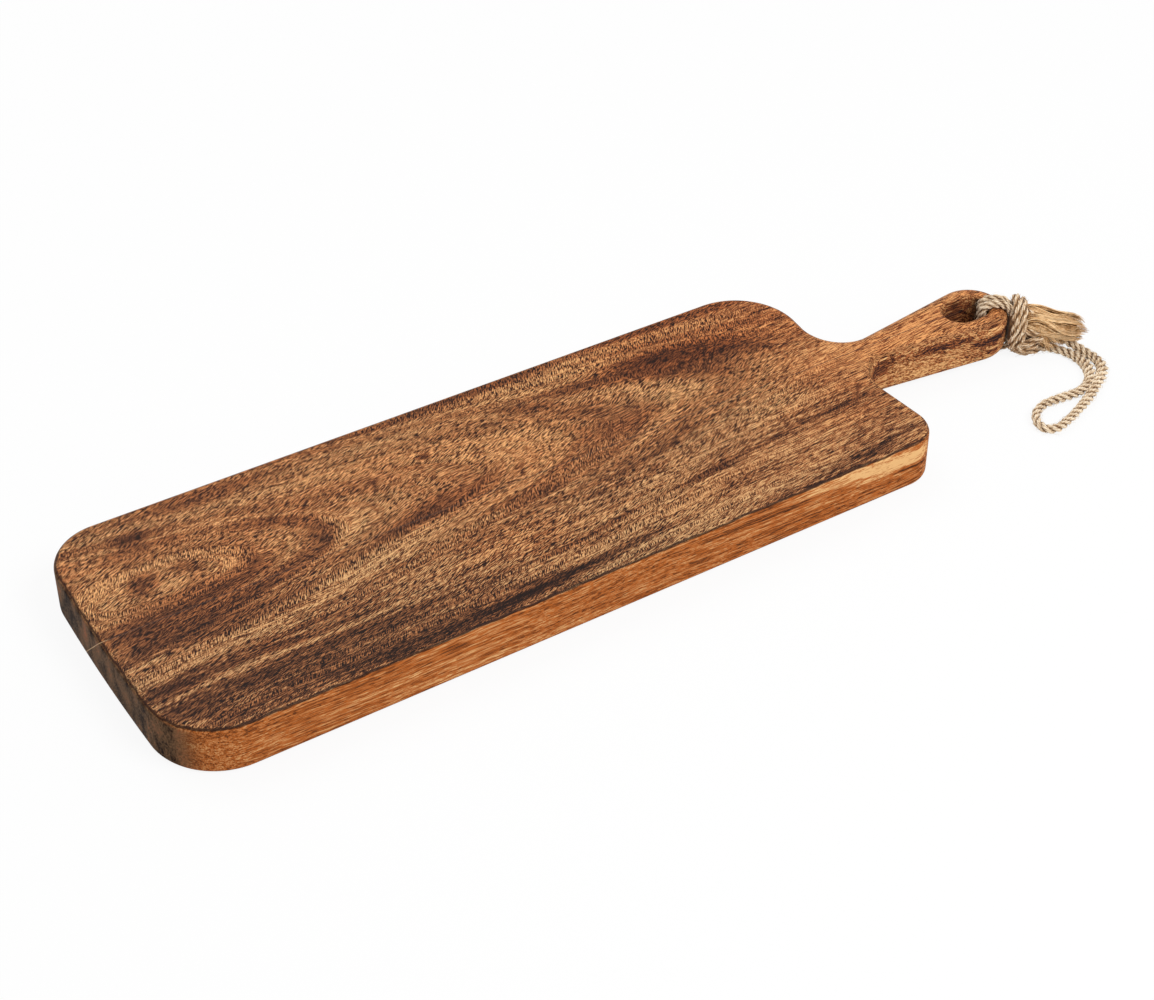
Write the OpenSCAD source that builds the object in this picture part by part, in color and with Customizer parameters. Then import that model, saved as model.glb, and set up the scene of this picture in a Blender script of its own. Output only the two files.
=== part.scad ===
// Paddle serving board with a knotted rope hanger, in millimetres.
// Origin: centre of the wood's footprint on the table. +X runs to the handle,
// +Y across to the rear edge, +Z up.

/* [Board] */
// Overall length, from the square end to the tip of the handle
board_l = 610; // [560:1:660]
// Width of the body at its square end
body_w = 190; // [170:1:210]
// Width of the body at its shoulders
shoulder_w = 182; // [164:1:200]
// Thickness of the wood
board_t = 32; // [28:0.5:38]
// How far the square end bulges past its corners, before rounding
end_bow = 3; // [1:0.5:4]
// Front corner radius of the square end
front_corner_r = 42; // [30:1:46]
// Rear corner radius of the square end
rear_corner_r = 33; // [25:1:44]
// Round-over of the body's top and bottom edges
body_edge_r = 3.6; // [2:0.2:6]

/* [Shoulders] */
// Distance from the handle's tip back to the front shoulder's corner
front_shoulder_back = 113.5; // [104:0.5:140]
// Distance from the handle's tip back to the rear shoulder's corner
rear_shoulder_back = 122; // [105:0.5:145]
// Radius of the front shoulder
front_shoulder_r = 21; // [12:1:30]
// Radius of the rear shoulder
rear_shoulder_r = 41; // [30:1:46]

/* [Handle] */
// Distance from the handle's tip back to the neck's front corner
front_neck_back = 123.5; // [114:0.5:140]
// Distance from the handle's tip back to the neck's rear corner
rear_neck_back = 127; // [114:0.5:144]
// Half width of the neck's front side at its corner, before rounding
front_neck_w = 6.5; // [5:0.5:12]
// Half width of the neck's rear side at its corner, before rounding
rear_neck_w = 9.5; // [6:0.5:13]
// Hollow radius between the front shoulder and the handle
front_neck_r = 23; // [14:1:28]
// Hollow radius between the rear shoulder and the handle
rear_neck_r = 24; // [14:1:28]
// Radius of the handle's round end
bulb_r = 23; // [21.5:0.5:26]
// How far the round end sits to the rear of the centre line
bulb_shift = 1; // [0:0.5:3]
// Round-over of the handle's edges
handle_edge_r = 8; // [5:0.5:9]
// How far the underside of the round end rises clear of the table
heel_rise = 2.6; // [2.5:0.1:4]
// Length over which the underside rises
heel_l = 36; // [24:1:50]
// Distance from the rise's top to the middle of the round end
heel_lead = 2; // [0:0.5:5]

/* [Hanging hole] */
// Half width of the hole
hole_r = 11; // [10:0.5:12]
// Distance between the centres of the hole's two round ends
hole_run = 9; // [4:0.5:16]
// Round-over of the hole's rims
hole_edge_r = 3; // [1.5:0.5:4]

/* [Glue joint] */
// Thickness of the glue between the two staves
glue_t = 0.3; // [0.2:0.05:0.5]
// How far the joint's upper edge sits to the rear of the centre line
glue_shift = 1.2; // [-6:0.1:6]
// Lean of the joint from upright, with its lower edge to the rear, in degrees
glue_lean = 44; // [0:1:50]

/* [Rope] */
// Diameter of the rope
rope_d = 6; // [5.6:0.1:6.2]
// Thickness of a rope strand where it is pulled tight round the wood
strand_t = 5.4; // [5:0.1:5.6]
// Gap between the two strands that go round the wood
strand_gap = 0.4; // [0.3:0.1:0.8]
// Angle at which the rope leaves the handle, from the board's length to the front
rope_turn = 28; // [10:1:40]

/* [Knot] */
// Distance from the middle of the hole's outer end to the middle of the knot
knot_reach = 35.5; // [35:0.5:38]
// Diameter of the knot under its outer wrap
knot_d = 26; // [24:0.5:28]
// Length of the knot along the rope
knot_l = 22; // [19:0.5:22.5]
// Diameter over the knot's outer wrap
wrap_d = 33; // [32:0.5:36]
// Lean of the wrap along the knot, from top to bottom
wrap_lean = 6; // [3:0.5:8]
// Height of the knot's underside above the table
knot_clear = 0.1; // [0.1:0.1:1]

/* [Frayed ends] */
// Length of the upper frayed end past the knot's middle
upper_tail_l = 40; // [34:1:46]
// Widest width of the upper frayed end
upper_tail_w = 15; // [12:0.5:18]
// Widest height of the upper frayed end
upper_tail_h = 12; // [9:0.5:13]
// Height of the upper frayed end's middle above the table
upper_tail_z = 21; // [20:0.5:23]
// Widest width of the lower frayed end
lower_tail_w = 7; // [5:0.5:8]

/* [Hidden] */

overrun = 1;
corner_steps = 12;
bow_steps = 15;
bulb_steps = 28;
edge_steps = 5;
half_turn = 180;
cap_shares = [0.3, 0.75, 0.95];

acacia_rear = "#8a5a33";
acacia_front = "#7a4a2a";
glue_colour = "#cdb58a";
jute = "#c8a878";
jute_light = "#d8bd8f";

// Places along the board
end_half = atan(body_w / 2 / end_bow);
bow_clear_share = 1.1;
bow_r = (body_w / 2 - bow_clear_share * max(front_corner_r, rear_corner_r)) * tan(end_half);
bow_x = -board_l / 2 - bow_r * (1 / sin(end_half) - 1);
end_x = bow_x + end_bow;
function back(d) = board_l / 2 - d;
bulb_x = board_l / 2 - bulb_r;
bulb = [bulb_x, bulb_shift];
front_neck = [back(front_neck_back), -front_neck_w];
rear_neck = [back(rear_neck_back), rear_neck_w];
front_shoulder = [back(front_shoulder_back), -shoulder_w / 2];
rear_shoulder = [back(rear_shoulder_back), shoulder_w / 2];
front_corner = [end_x, -body_w / 2];
rear_corner = [end_x, body_w / 2];
bow_tip = [bow_x, 0];

// Vector helpers
function unit(v) = v / norm(v);
function direction(a) = [cos(a), sin(a)];
function bearing(v) = atan2(v[1], v[0]);
function turned(a) = a > 180 ? a - 360 : a < -180 ? a + 360 : a;
function blend(a, b, t) = a + (b - a) * t;

// Round corner at p1 between the lines to p0 and p2, its edge rounding going from e0 to e1
function corner(p0, p1, p2, r, e0, e1, steps = corner_steps) =
    let (a = unit(p0 - p1), b = unit(p2 - p1),
         half = acos(a * b) / 2,
         centre = p1 + unit(a + b) * r / sin(half),
         a0 = bearing(p1 + a * r / tan(half) - centre),
         sweep = turned(bearing(p1 + b * r / tan(half) - centre) - a0))
    [for (i = [0 : steps - 1])
        let (t = i / (steps - 1), q = centre + r * direction(a0 + sweep * t))
        [q[0], q[1], blend(e0, e1, t)]];

// Bearing on the round end at which a line from p touches it
function touch(p, side) =
    let (d = bulb - p) bearing(-d) - side * acos(bulb_r / norm(d));
front_touch = touch(front_neck, -1);
rear_touch = touch(rear_neck, 1);
bulb_sweep = (rear_touch - front_touch + 720) % 360;
function on_bulb(a) = bulb + bulb_r * direction(a);

outline = concat(
    corner(rear_shoulder, rear_corner, bow_tip, rear_corner_r, body_edge_r, body_edge_r),
    corner(rear_corner, bow_tip, front_corner, bow_r, body_edge_r, body_edge_r, bow_steps),
    corner(bow_tip, front_corner, front_shoulder, front_corner_r, body_edge_r, body_edge_r),
    corner(front_corner, front_shoulder, front_neck, front_shoulder_r, body_edge_r, body_edge_r),
    corner(front_shoulder, front_neck, on_bulb(front_touch), front_neck_r, body_edge_r, handle_edge_r),
    [for (i = [0 : bulb_steps])
        let (q = on_bulb(front_touch + bulb_sweep * i / bulb_steps)) [q[0], q[1], handle_edge_r]],
    corner(on_bulb(rear_touch), rear_neck, rear_shoulder, rear_neck_r, handle_edge_r, body_edge_r),
    corner(rear_neck, rear_shoulder, rear_corner, rear_shoulder_r, body_edge_r, body_edge_r));

// Inward normal of the outline at point i
function inward(i) =
    let (n = len(outline), a = outline[(i + n - 1) % n], b = outline[(i + 1) % n],
         d = unit([b[0] - a[0], b[1] - a[1]]))
    [-d[1], d[0]];

// Stations round the wood, each [place, inward normal, edge rounding]
stations = [for (i = [0 : len(outline) - 1])
    [[outline[i][0], outline[i][1]], inward(i), outline[i][2]]];

// One ring of the rounded wood: tilt 0 is the flat face, 90 the side wall
function wood_ring(list, tilt, is_top) =
    [for (p = list)
        let (q = p[0] + p[1] * p[2] * (1 - sin(tilt)), drop = p[2] * (1 - cos(tilt)))
        [q[0], q[1], is_top ? board_t - drop : drop]];

tilts = [for (i = [0 : edge_steps]) 90 * i / edge_steps];
function wood_rings(list) =
    concat([for (t = tilts) wood_ring(list, t, false)],
           [for (i = [edge_steps : -1 : 0]) wood_ring(list, tilts[i], true)]);

// Skin over closed rings that all hold the same number of points
module skin(rings) {
    n = len(rings[0]);
    m = len(rings);
    walls = [for (j = [0 : m - 2]) for (i = [0 : n - 1])
        let (a = j * n + i, b = j * n + (i + 1) % n, c = a + n, d = b + n)
        each [[a, c, d], [a, d, b]]];
    polyhedron([for (r = rings) each r],
        concat(walls, [[for (i = [0 : n - 1]) i]], [[for (i = [n - 1 : -1 : 0]) (m - 1) * n + i]]));
}

// Hole through the handle, flared at both rims
hole_far_x = bulb_x;
hole_near_x = bulb_x - hole_run;
// Flare of the hole past its half width, and the height it has it at
hole_flares = concat(
    [[hole_edge_r, -overrun]],
    [for (t = tilts) [hole_edge_r * (1 - sin(t)), hole_edge_r * (1 - cos(t))]],
    [for (i = [edge_steps : -1 : 0])
        [hole_edge_r * (1 - sin(tilts[i])), board_t - hole_edge_r * (1 - cos(tilts[i]))]],
    [[hole_edge_r, board_t + overrun]]);
function hole_ring(r, z) =
    [for (s = [0, 1]) for (i = [0 : bulb_steps])
        let (x = s == 0 ? hole_far_x : hole_near_x,
             q = direction(half_turn * (s + i / bulb_steps - 1 / 2)) * r)
        [x + q[0], bulb_shift + q[1], z]];
hole_rings = [for (f = hole_flares) hole_ring(hole_r + f[0], f[1])];

// Underside of the round end, swept up clear of the table
heel_x = bulb_x + heel_lead;
heel_steps = 6;
heel_profile = concat(
    [[board_l / 2 + overrun, -overrun], [board_l / 2 + overrun, heel_rise]],
    [for (i = [heel_steps : -1 : 0])
        let (t = i / heel_steps)
        [heel_x - heel_l * (1 - t), heel_rise * (1 - cos(half_turn * t)) / 2]],
    [[heel_x - heel_l, -overrun]]);
module heel_cut(width) {
    rotate([90, 0, 0])
        linear_extrude(width, center = true)
            polygon(heel_profile);
}

// Both staves in one, before the joint divides them
module wood() {
    difference() {
        skin(wood_rings(stations));
        skin(hole_rings);
        heel_cut(2 * (bulb_r + overrun + bulb_shift));
    }
}

// All that lies behind, or in front of, the plane at a distance behind the middle of the joint
cut_reach = 2 * body_w;
module joint_side(is_behind, distance) {
    translate([0, glue_shift, board_t])
        rotate([glue_lean, 0, 0])
            translate([-board_l, is_behind ? distance : distance - cut_reach, -cut_reach / 2])
                cube([2 * board_l, cut_reach, cut_reach]);
}

module stave(is_rear) {
    resize([0, 0, board_t])
        difference() {
            wood();
            joint_side(!is_rear, (is_rear ? 1 : -1) * glue_t / 2);
        }
}
module rear_stave() { color(acacia_rear) stave(true); }
module front_stave() { color(acacia_front) stave(false); }
module glue_line() {
    color(glue_colour)
        resize([0, 0, board_t])
            difference() {
                wood();
                joint_side(true, glue_t / 2);
                joint_side(false, -glue_t / 2);
            }
}

// Tube along a path: sizes are half widths across and along the reference direction
function tangent(path, i) =
    unit(path[min(i + 1, len(path) - 1)] - path[max(i - 1, 0)]);
function tube_ring(p, t, size, ref, sides) =
    let (across = unit(cross(ref, t)), up = cross(t, across))
    [for (k = [0 : sides - 1])
        let (a = 360 * (k + 0.5) / sides) p + across * size[0] * cos(a) + up * size[1] * sin(a)];
module tube(path, sizes, ref, sides) {
    skin([for (i = [0 : len(path) - 1])
        tube_ring(path[i], tangent(path, i), sizes[i], ref, sides)]);
}

// Frame of the hitch: out is the way the rope leaves, side runs across it
out = [cos(-rope_turn), sin(-rope_turn), 0];
side = [sin(rope_turn), cos(rope_turn), 0];
up = [0, 0, 1];
hitch = [hole_far_x, bulb_shift, 0];
function at_hitch(r, s, z) = hitch + out * r + side * s + up * z;

// Strand round the wood between the hole and the handle's end, in its own plane:
// distance out from the hole's outer end, height and half thickness
squash_gap_share = 1.2;
// Shares of the strand's thickness inward, of the rise up, and of the thickness as half thickness
squeeze_shares = [[0, 3.4, 0.5], [0, 2.3, 0.42], [0.07, 1.3, 0.28]];
// Shares of the strand's thickness out past the end wall, up, and as half thickness
leave_shares = [[0.5, 0.85, 0.4]];
strand_shift = (strand_t + strand_gap) / 2;
strand_side = strand_t + strand_gap / 2;
hole_in = sqrt(hole_r * hole_r - strand_side * strand_side);
strand_room = hole_r - strand_t / 2 - strand_gap;
wall_in = sqrt(strand_room * strand_room - strand_shift * strand_shift);
wall_out = bulb_r;
crown_r = handle_edge_r + strand_t / 2 + strand_gap;
crown = [wall_out - handle_edge_r, board_t - handle_edge_r];
rim_r = hole_edge_r + strand_t / 2 + strand_gap;
rim = [hole_in + hole_edge_r, board_t - hole_edge_r];
squash_t = heel_rise - knot_clear - strand_gap * squash_gap_share;
squash_z = knot_clear + squash_t / 2;
function round_point(c, r, a, t) = [c[0] + r * cos(a), c[1] + r * sin(a), t / 2];
strand_line = concat(
    [[knot_reach - knot_l / 4, board_t - 2 * hole_edge_r - strand_t / 2, strand_t / 2]],
    [for (a = [18, 34, 50, 66, 82]) round_point(crown, crown_r, a, strand_t)],
    [for (a = [118, 145, 172]) round_point(rim, rim_r, a, strand_t)],
    [[wall_in, board_t / 2, strand_t / 2]],
    [for (s = squeeze_shares) [wall_in + strand_t * s[0], heel_rise * s[1], strand_t * s[2]]],
    [[hole_in - strand_t / 8, squash_z + strand_gap / 3, squash_t / 2],
     [hole_r + strand_t / 3, squash_z, squash_t / 2],
     [wall_out - strand_t, squash_z, squash_t / 2],
     [wall_out, squash_z + strand_gap, squash_t / 2 + strand_gap / 3]],
    [for (s = leave_shares) [wall_out + strand_t * s[0], strand_t * s[1], strand_t * s[2]]],
    [[knot_reach - knot_l / 4, strand_t * 3 / 2 + strand_gap, strand_t / 2]]);

module hole_strand(s) {
    tube([for (p = strand_line) at_hitch(p[0], s, p[1])],
         [for (p = strand_line) [p[2], strand_t / 2]], side, 10);
}
module front_hole_strand() { color(jute) hole_strand(-strand_shift); }
module rear_hole_strand() { color(jute) hole_strand(strand_shift); }

// Knot: a full core with one leaning turn of the rope pulled tight over it
knot_z = knot_clear + wrap_d / 2;
knot_steps = 10;
core_end_share = 0.97;
function barrel(t) = sqrt(1 - pow(abs(t), 4));
module knot_core() {
    ts = [for (i = [0 : knot_steps]) core_end_share * (2 * i / knot_steps - 1)];
    color(jute)
        tube([for (t = ts) at_hitch(knot_reach + t * knot_l / 2, 0, knot_z)],
             [for (t = ts) [knot_d / 2 * barrel(t), knot_d / 2 * barrel(t)]], up, 20);
}

wrap_r = (wrap_d - rope_d) / 2;
wrap_steps = 26;
wrap_from = 250;
wrap_turn = 400;
wrap_tuck_share = 0.15;
wrap_dip_share = 0.7;
function wrap_point(t) =
    let (a = wrap_from + wrap_turn * t,
         tuck = max(0, (abs(2 * t - 1) - 1) / wrap_tuck_share + 1),
         r = wrap_r - rope_d * wrap_dip_share * tuck,
         drift = rope_d / 2 * cos(half_turn * t) + wrap_lean / 2 * sin(a))
    at_hitch(knot_reach - drift, r * cos(a), knot_z + r * sin(a));
module knot_wrap() {
    color(jute_light)
        tube([for (i = [0 : wrap_steps]) wrap_point(i / wrap_steps)],
             [for (i = [0 : wrap_steps]) [rope_d / 2, rope_d / 2]], out, 8);
}

// Frayed ends: a lump of loose fibre each
tail_shares = [[0, 0.65, 0.7], [0.2, 0.9, 0.95], [0.45, 1, 1], [0.7, 0.95, 0.85], [0.88, 0.7, 0.6],
               [1, 0.3, 0.25]];
tail_root = knot_l / 4;
module upper_frayed_end() {
    color(jute_light)
        tube([for (s = tail_shares)
                at_hitch(knot_reach + blend(tail_root, upper_tail_l, s[0]), -upper_tail_w / 3 * s[0],
                         upper_tail_z - upper_tail_h / 3 * s[0] * s[0])],
             [for (s = tail_shares) [upper_tail_w / 2 * s[1], upper_tail_h / 2 * s[2]]], up, 12);
}

lower_path_shares = [[0.1, -0.72, 0.72], [0.35, -0.95, 0.45], [0.45, -1.28, 0.24], [0.52, -1.5, 0.1]];
lower_width_shares = [0.9, 1, 0.8, 0.4];
module lower_frayed_end() {
    color(jute_light)
        tube([for (p = lower_path_shares)
                at_hitch(knot_reach + knot_d / 2 * p[0], knot_d / 2 * p[1],
                         knot_d / 2 * p[2] + lower_tail_w / 4)],
             [for (s = lower_width_shares) [lower_tail_w / 2 * s, lower_tail_w / 2 * s]], up, 8);
}

// Hanging loop: one length of rope, both of whose ends come out of the knot
loop_z = rope_d / 2 + knot_clear;
// Places from the middle of the hole's outer end, heights from the table
loop_turn = [39.4, -28.4];
loop_places = [
    [44.3, -32, 9.8], [48.5, -35.5, 9], [52.5, -40, 6], [55.5, -47, 3.6], [56.5, -55, 3.1],
    [55, -63, 3.1], [50.5, -71, 3.1], [43, -78, 3.1], [34, -83, 3.1], [24, -87, 3.1],
    [13, -91, 3.1], [2, -95, 3.1], [-7, -97, 3.1], [-13.5, -93.5, 3.1], [-13.5, -86, 3.1],
    [-8, -79.5, 3.1], [1, -76, 3.1], [11.5, -76, 3.1], [22, -77, 3.1], [31.5, -75, 3.1],
    [39.5, -70.5, 3.1], [45.5, -63.5, 3.1], [48.5, -55.5, 3.1], [48.5, -47, 3.1],
    [46, -39.5, 3.1], [43, -33.5, 3.1]];
loop_route = [for (p = loop_places) hitch + p];
loop_pivot = hitch + [loop_turn[0], loop_turn[1], 0];
function cap_points(p, q, flip) =
    let (t = unit(p - q), n = len(cap_shares) - 1)
    [for (i = [0 : n])
        let (share = cap_shares[flip ? n - i : i])
        [p + t * rope_d / 2 * sqrt(1 - share * share), share]];
loop_start = [loop_pivot[0], loop_pivot[1], loop_route[0][2]];
loop_end = [loop_pivot[0], loop_pivot[1], loop_z];
loop_stations = concat(
    cap_points(loop_start, loop_route[0], false), [[loop_start, 1]],
    [for (p = loop_route) [p, 1]], [[loop_end, 1]],
    cap_points(loop_end, loop_route[len(loop_route) - 1], true));
loop_path = [for (s = loop_stations) s[0]];
module hanging_loop() {
    color(jute)
        tube(loop_path, [for (s = loop_stations) [s[1], s[1]] * rope_d / 2], up, 8);
}

// Length of the loop and its least gap to itself, measured at its points
loop_l = [for (i = 1, l = 0; i <= len(loop_path);
               l = l + (i < len(loop_path) ? norm(loop_path[i] - loop_path[i - 1]) : 0), i = i + 1) l];
echo(loop_length = loop_l[len(loop_l) - 1]);
function span(a, b, steps = 4) = [for (k = [0 : steps - 1]) blend(a, b, k / steps)];
fine = [for (i = [1 : len(loop_route) - 1]) each span(loop_route[i - 1], loop_route[i])];
gaps = [for (i = [0 : len(fine) - 1]) for (j = [i + 16 : 1 : len(fine) - 1]) norm(fine[i] - fine[j])];
echo(loop_least_gap = min(gaps) - rope_d);

rear_stave();
front_stave();
glue_line();
front_hole_strand();
rear_hole_strand();
knot_core();
knot_wrap();
upper_frayed_end();
lower_frayed_end();
hanging_loop();
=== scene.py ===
"""Paddle serving board with a knotted rope hanger: its looks, stage and camera."""
import math
import random

import bpy
from bpy.props import FloatProperty, FloatVectorProperty, IntProperty, PointerProperty
from bpy.types import Operator, Panel, PropertyGroup
from mathutils import Matrix, Vector


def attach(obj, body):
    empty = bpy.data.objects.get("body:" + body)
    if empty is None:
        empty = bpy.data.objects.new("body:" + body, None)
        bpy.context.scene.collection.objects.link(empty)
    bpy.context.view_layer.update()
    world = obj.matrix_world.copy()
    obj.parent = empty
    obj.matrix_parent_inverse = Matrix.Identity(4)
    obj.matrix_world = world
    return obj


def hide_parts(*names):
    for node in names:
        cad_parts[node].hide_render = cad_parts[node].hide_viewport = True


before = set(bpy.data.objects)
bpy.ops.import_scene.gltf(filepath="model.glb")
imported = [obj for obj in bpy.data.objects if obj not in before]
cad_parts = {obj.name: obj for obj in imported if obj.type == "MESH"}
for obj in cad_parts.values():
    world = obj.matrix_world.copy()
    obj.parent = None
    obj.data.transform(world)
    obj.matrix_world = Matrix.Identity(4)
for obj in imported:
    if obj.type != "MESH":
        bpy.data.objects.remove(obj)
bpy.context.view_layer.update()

bl_info = {
    "name": "Paddle Serving Board",
    "version": (1, 0, 0),
    "blender": (4, 5, 0),
    "location": "3D View > Sidebar > Serving Board",
    "description": "Models a wooden paddle board and its knotted rope hanger",
    "category": "Add Mesh",
}


def metres(name, default, description):
    return FloatProperty(name=name, description=description, default=default, min=0.0, unit="LENGTH")


def degrees(name, default, description):
    return FloatProperty(name=name, description=description, default=math.radians(default), unit="ROTATION")


def colour(name, default, description):
    return FloatVectorProperty(name=name, description=description, default=default, min=0.0, max=1.0,
                               size=3, subtype="COLOR")


def share(name, default, description):
    return FloatProperty(name=name, description=description, default=default, min=0.0, max=1.0, subtype="FACTOR")


class BoardSizes(PropertyGroup):
    """Sizes of the wooden board"""
    length: metres("Length", 0.61, "From the square end to the tip of the handle")
    width: metres("Width", 0.19, "Across the body at its square end")
    shoulder_width: metres("Shoulder width", 0.182, "Across the body at its shoulders")
    thickness: metres("Thickness", 0.032, "Thickness of the wood")
    end_bow: metres("End bulge", 0.003, "How far the square end bulges past its corners")
    front_corner: metres("Front corner", 0.042, "Front corner radius of the square end")
    rear_corner: metres("Rear corner", 0.033, "Rear corner radius of the square end")
    edge: metres("Edge rounding", 0.0036, "Round-over of the body's edges")
    front_shoulder: metres("Front shoulder place", 0.1135, "From the tip back to the front shoulder's corner")
    rear_shoulder: metres("Rear shoulder place", 0.122, "From the tip back to the rear shoulder's corner")
    front_shoulder_radius: metres("Front shoulder", 0.021, "Radius of the front shoulder")
    rear_shoulder_radius: metres("Rear shoulder", 0.041, "Radius of the rear shoulder")
    front_neck: metres("Front neck place", 0.1235, "From the tip back to the neck's front corner")
    rear_neck: metres("Rear neck place", 0.127, "From the tip back to the neck's rear corner")
    front_neck_half: metres("Front neck half width", 0.0065, "Half width of the neck to the front")
    rear_neck_half: metres("Rear neck half width", 0.0095, "Half width of the neck to the rear")
    front_neck_radius: metres("Front neck radius", 0.023, "Hollow radius beside the front shoulder")
    rear_neck_radius: metres("Rear neck radius", 0.024, "Hollow radius beside the rear shoulder")
    tip_radius: metres("Tip radius", 0.023, "Radius of the handle's round end")
    tip_shift: metres("Tip shift", 0.001, "How far the round end sits to the rear")
    handle_edge: metres("Handle edge rounding", 0.008, "Round-over of the handle's edges")
    heel_rise: metres("Heel rise", 0.0026, "How far the round end's underside clears the table")
    heel_length: metres("Heel length", 0.036, "Length over which the underside rises")
    heel_lead: metres("Heel lead", 0.002, "From the rise's top to the middle of the round end")
    hole_radius: metres("Hole half width", 0.011, "Half width of the hanging hole")
    hole_run: metres("Hole run", 0.009, "Between the centres of the hole's round ends")
    hole_edge: metres("Hole rim rounding", 0.003, "Round-over of the hole's rims")
    glue_shift: metres("Glue joint place", 0.0012, "How far the joint's upper edge sits to the rear")
    glue_lean: degrees("Glue joint lean", 44.0, "How far the joint leans, its lower edge to the rear")
    glue_gap: metres("Glue thickness", 0.0003, "Thickness of the glue between the staves")


class RopeSizes(PropertyGroup):
    """Sizes of the rope hanger"""
    diameter: metres("Diameter", 0.006, "Diameter of the rope")
    strand: metres("Tight strand", 0.0054, "Thickness of a strand pulled tight round the wood")
    gap: metres("Strand gap", 0.0004, "Gap between the strands round the wood")
    turn: degrees("Turn", 28.0, "How far to the front the rope leaves the handle")
    knot_reach: metres("Knot reach", 0.0355, "From the hole's outer end to the knot's middle")
    knot_length: metres("Knot length", 0.022, "Length of the knot along the rope")
    wrap_diameter: metres("Wrap diameter", 0.033, "Diameter over the knot's wrap")
    knot_clear: metres("Knot clearance", 0.0001, "Height of the knot's underside above the table")
    lay: metres("Lay length", 0.0145, "Length of rope in which a ply goes round once")
    seed: IntProperty(name="Seed", description="Seed of the loose fibres", default=7, min=0)


class Finishes(PropertyGroup):
    """Colours of the wood, the glue and the rope"""
    wood_dark: colour("Dark grain", (0.016, 0.0075, 0.0055), "Darkest streaks of the wood")
    wood_brown: colour("Brown wood", (0.1, 0.036, 0.0155), "Shaded figure of the wood")
    wood_tan: colour("Tan wood", (0.28, 0.1, 0.035), "Main colour of the wood")
    wood_gold: colour("Golden wood", (0.52, 0.21, 0.074), "Light figure of the wood")
    wood_pale: colour("Sapwood", (0.8, 0.47, 0.2), "Palest wood")
    # Also painted shade with a bluish painted reflection: the darkest colour of the handle's walls, in the shaded
    # hollow at the neck, besides dark grain
    violet_grain_and_shade: colour("Violet grain", (0.04, 0.022, 0.024), "Darkest streaks on the handle's walls")
    wood_worn: colour("Worn walls", (0.37, 0.122, 0.056), "Main colour of the handle's walls")
    wood_red: colour("Red tint", (1.0, 0.78, 0.66), "Warmer tint of the wood towards the handle")
    wood_cool: colour("Cool tint", (0.84, 0.91, 1.0), "Greyer tint of the wood to the front")
    wood_orange: colour("Sawn walls", (0.45, 0.122, 0.024), "Walls, where the grain is cut along its length")
    end_grain: colour("End grain", (0.15, 0.085, 0.045), "Square end, where the grain is cut across")
    glue: colour("Glue", (0.8, 0.5, 0.24), "Dried glue of the joint")
    jute: colour("Jute", (0.6, 0.42, 0.25), "Main colour of the rope")
    jute_pale: colour("Pale jute", (0.93, 0.78, 0.58), "Pale fibres of the rope")
    # Also painted shade: the colour the rope's, the knot's and the brushes' depths darken to, besides dark fibres
    dark_jute_and_shade: colour("Dark jute", (0.2, 0.1, 0.04), "Depths of the rope")
    # Painted shade: the rope's jute made darker and browner where it is knotted
    knot: colour("Knotted rope", (0.54, 0.32, 0.155), "Main colour of the rope in the knot")
    fray: colour("Frayed jute", (0.6, 0.305, 0.105), "Main colour of the combed-out ends")
    fray_pale: colour("Pale frayed jute", (0.96, 0.68, 0.38), "Pale fibres of the combed-out ends")
    wood_gloss: share("Wood roughness", 0.5, "Roughness of the oiled wood")


# Making meshes

def deselect():
    if bpy.context.object and bpy.context.object.mode != "OBJECT":
        bpy.ops.object.mode_set(mode="OBJECT")
    bpy.ops.object.select_all(action="DESELECT")


def choose(obj):
    """Makes one piece the active and only selected one"""
    deselect()
    obj.select_set(True)
    bpy.context.view_layer.objects.active = obj


def apply_modifier(obj, kind, **settings):
    """Adds a modifier with its settings and applies it"""
    choose(obj)
    modifier = obj.modifiers.new(kind.title(), kind)
    for name, value in settings.items():
        setattr(modifier, name, value)
    bpy.ops.object.modifier_apply(modifier=modifier.name)


def duplicate(obj, name):
    """A copy of a piece with its own mesh"""
    choose(obj)
    bpy.ops.object.duplicate()
    copy = bpy.context.object
    copy.name = copy.data.name = name
    return copy


def settle(obj, body, node):
    """Puts the piece's place in its mesh and has it ride and stand for its node's solid"""
    choose(obj)
    bpy.ops.object.transform_apply(location=True, rotation=True, scale=True)
    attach(obj, body)
    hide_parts(node)
    deselect()
    return obj


def full_turn(parts):
    return [2 * math.pi * k / parts for k in range(parts)]


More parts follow.
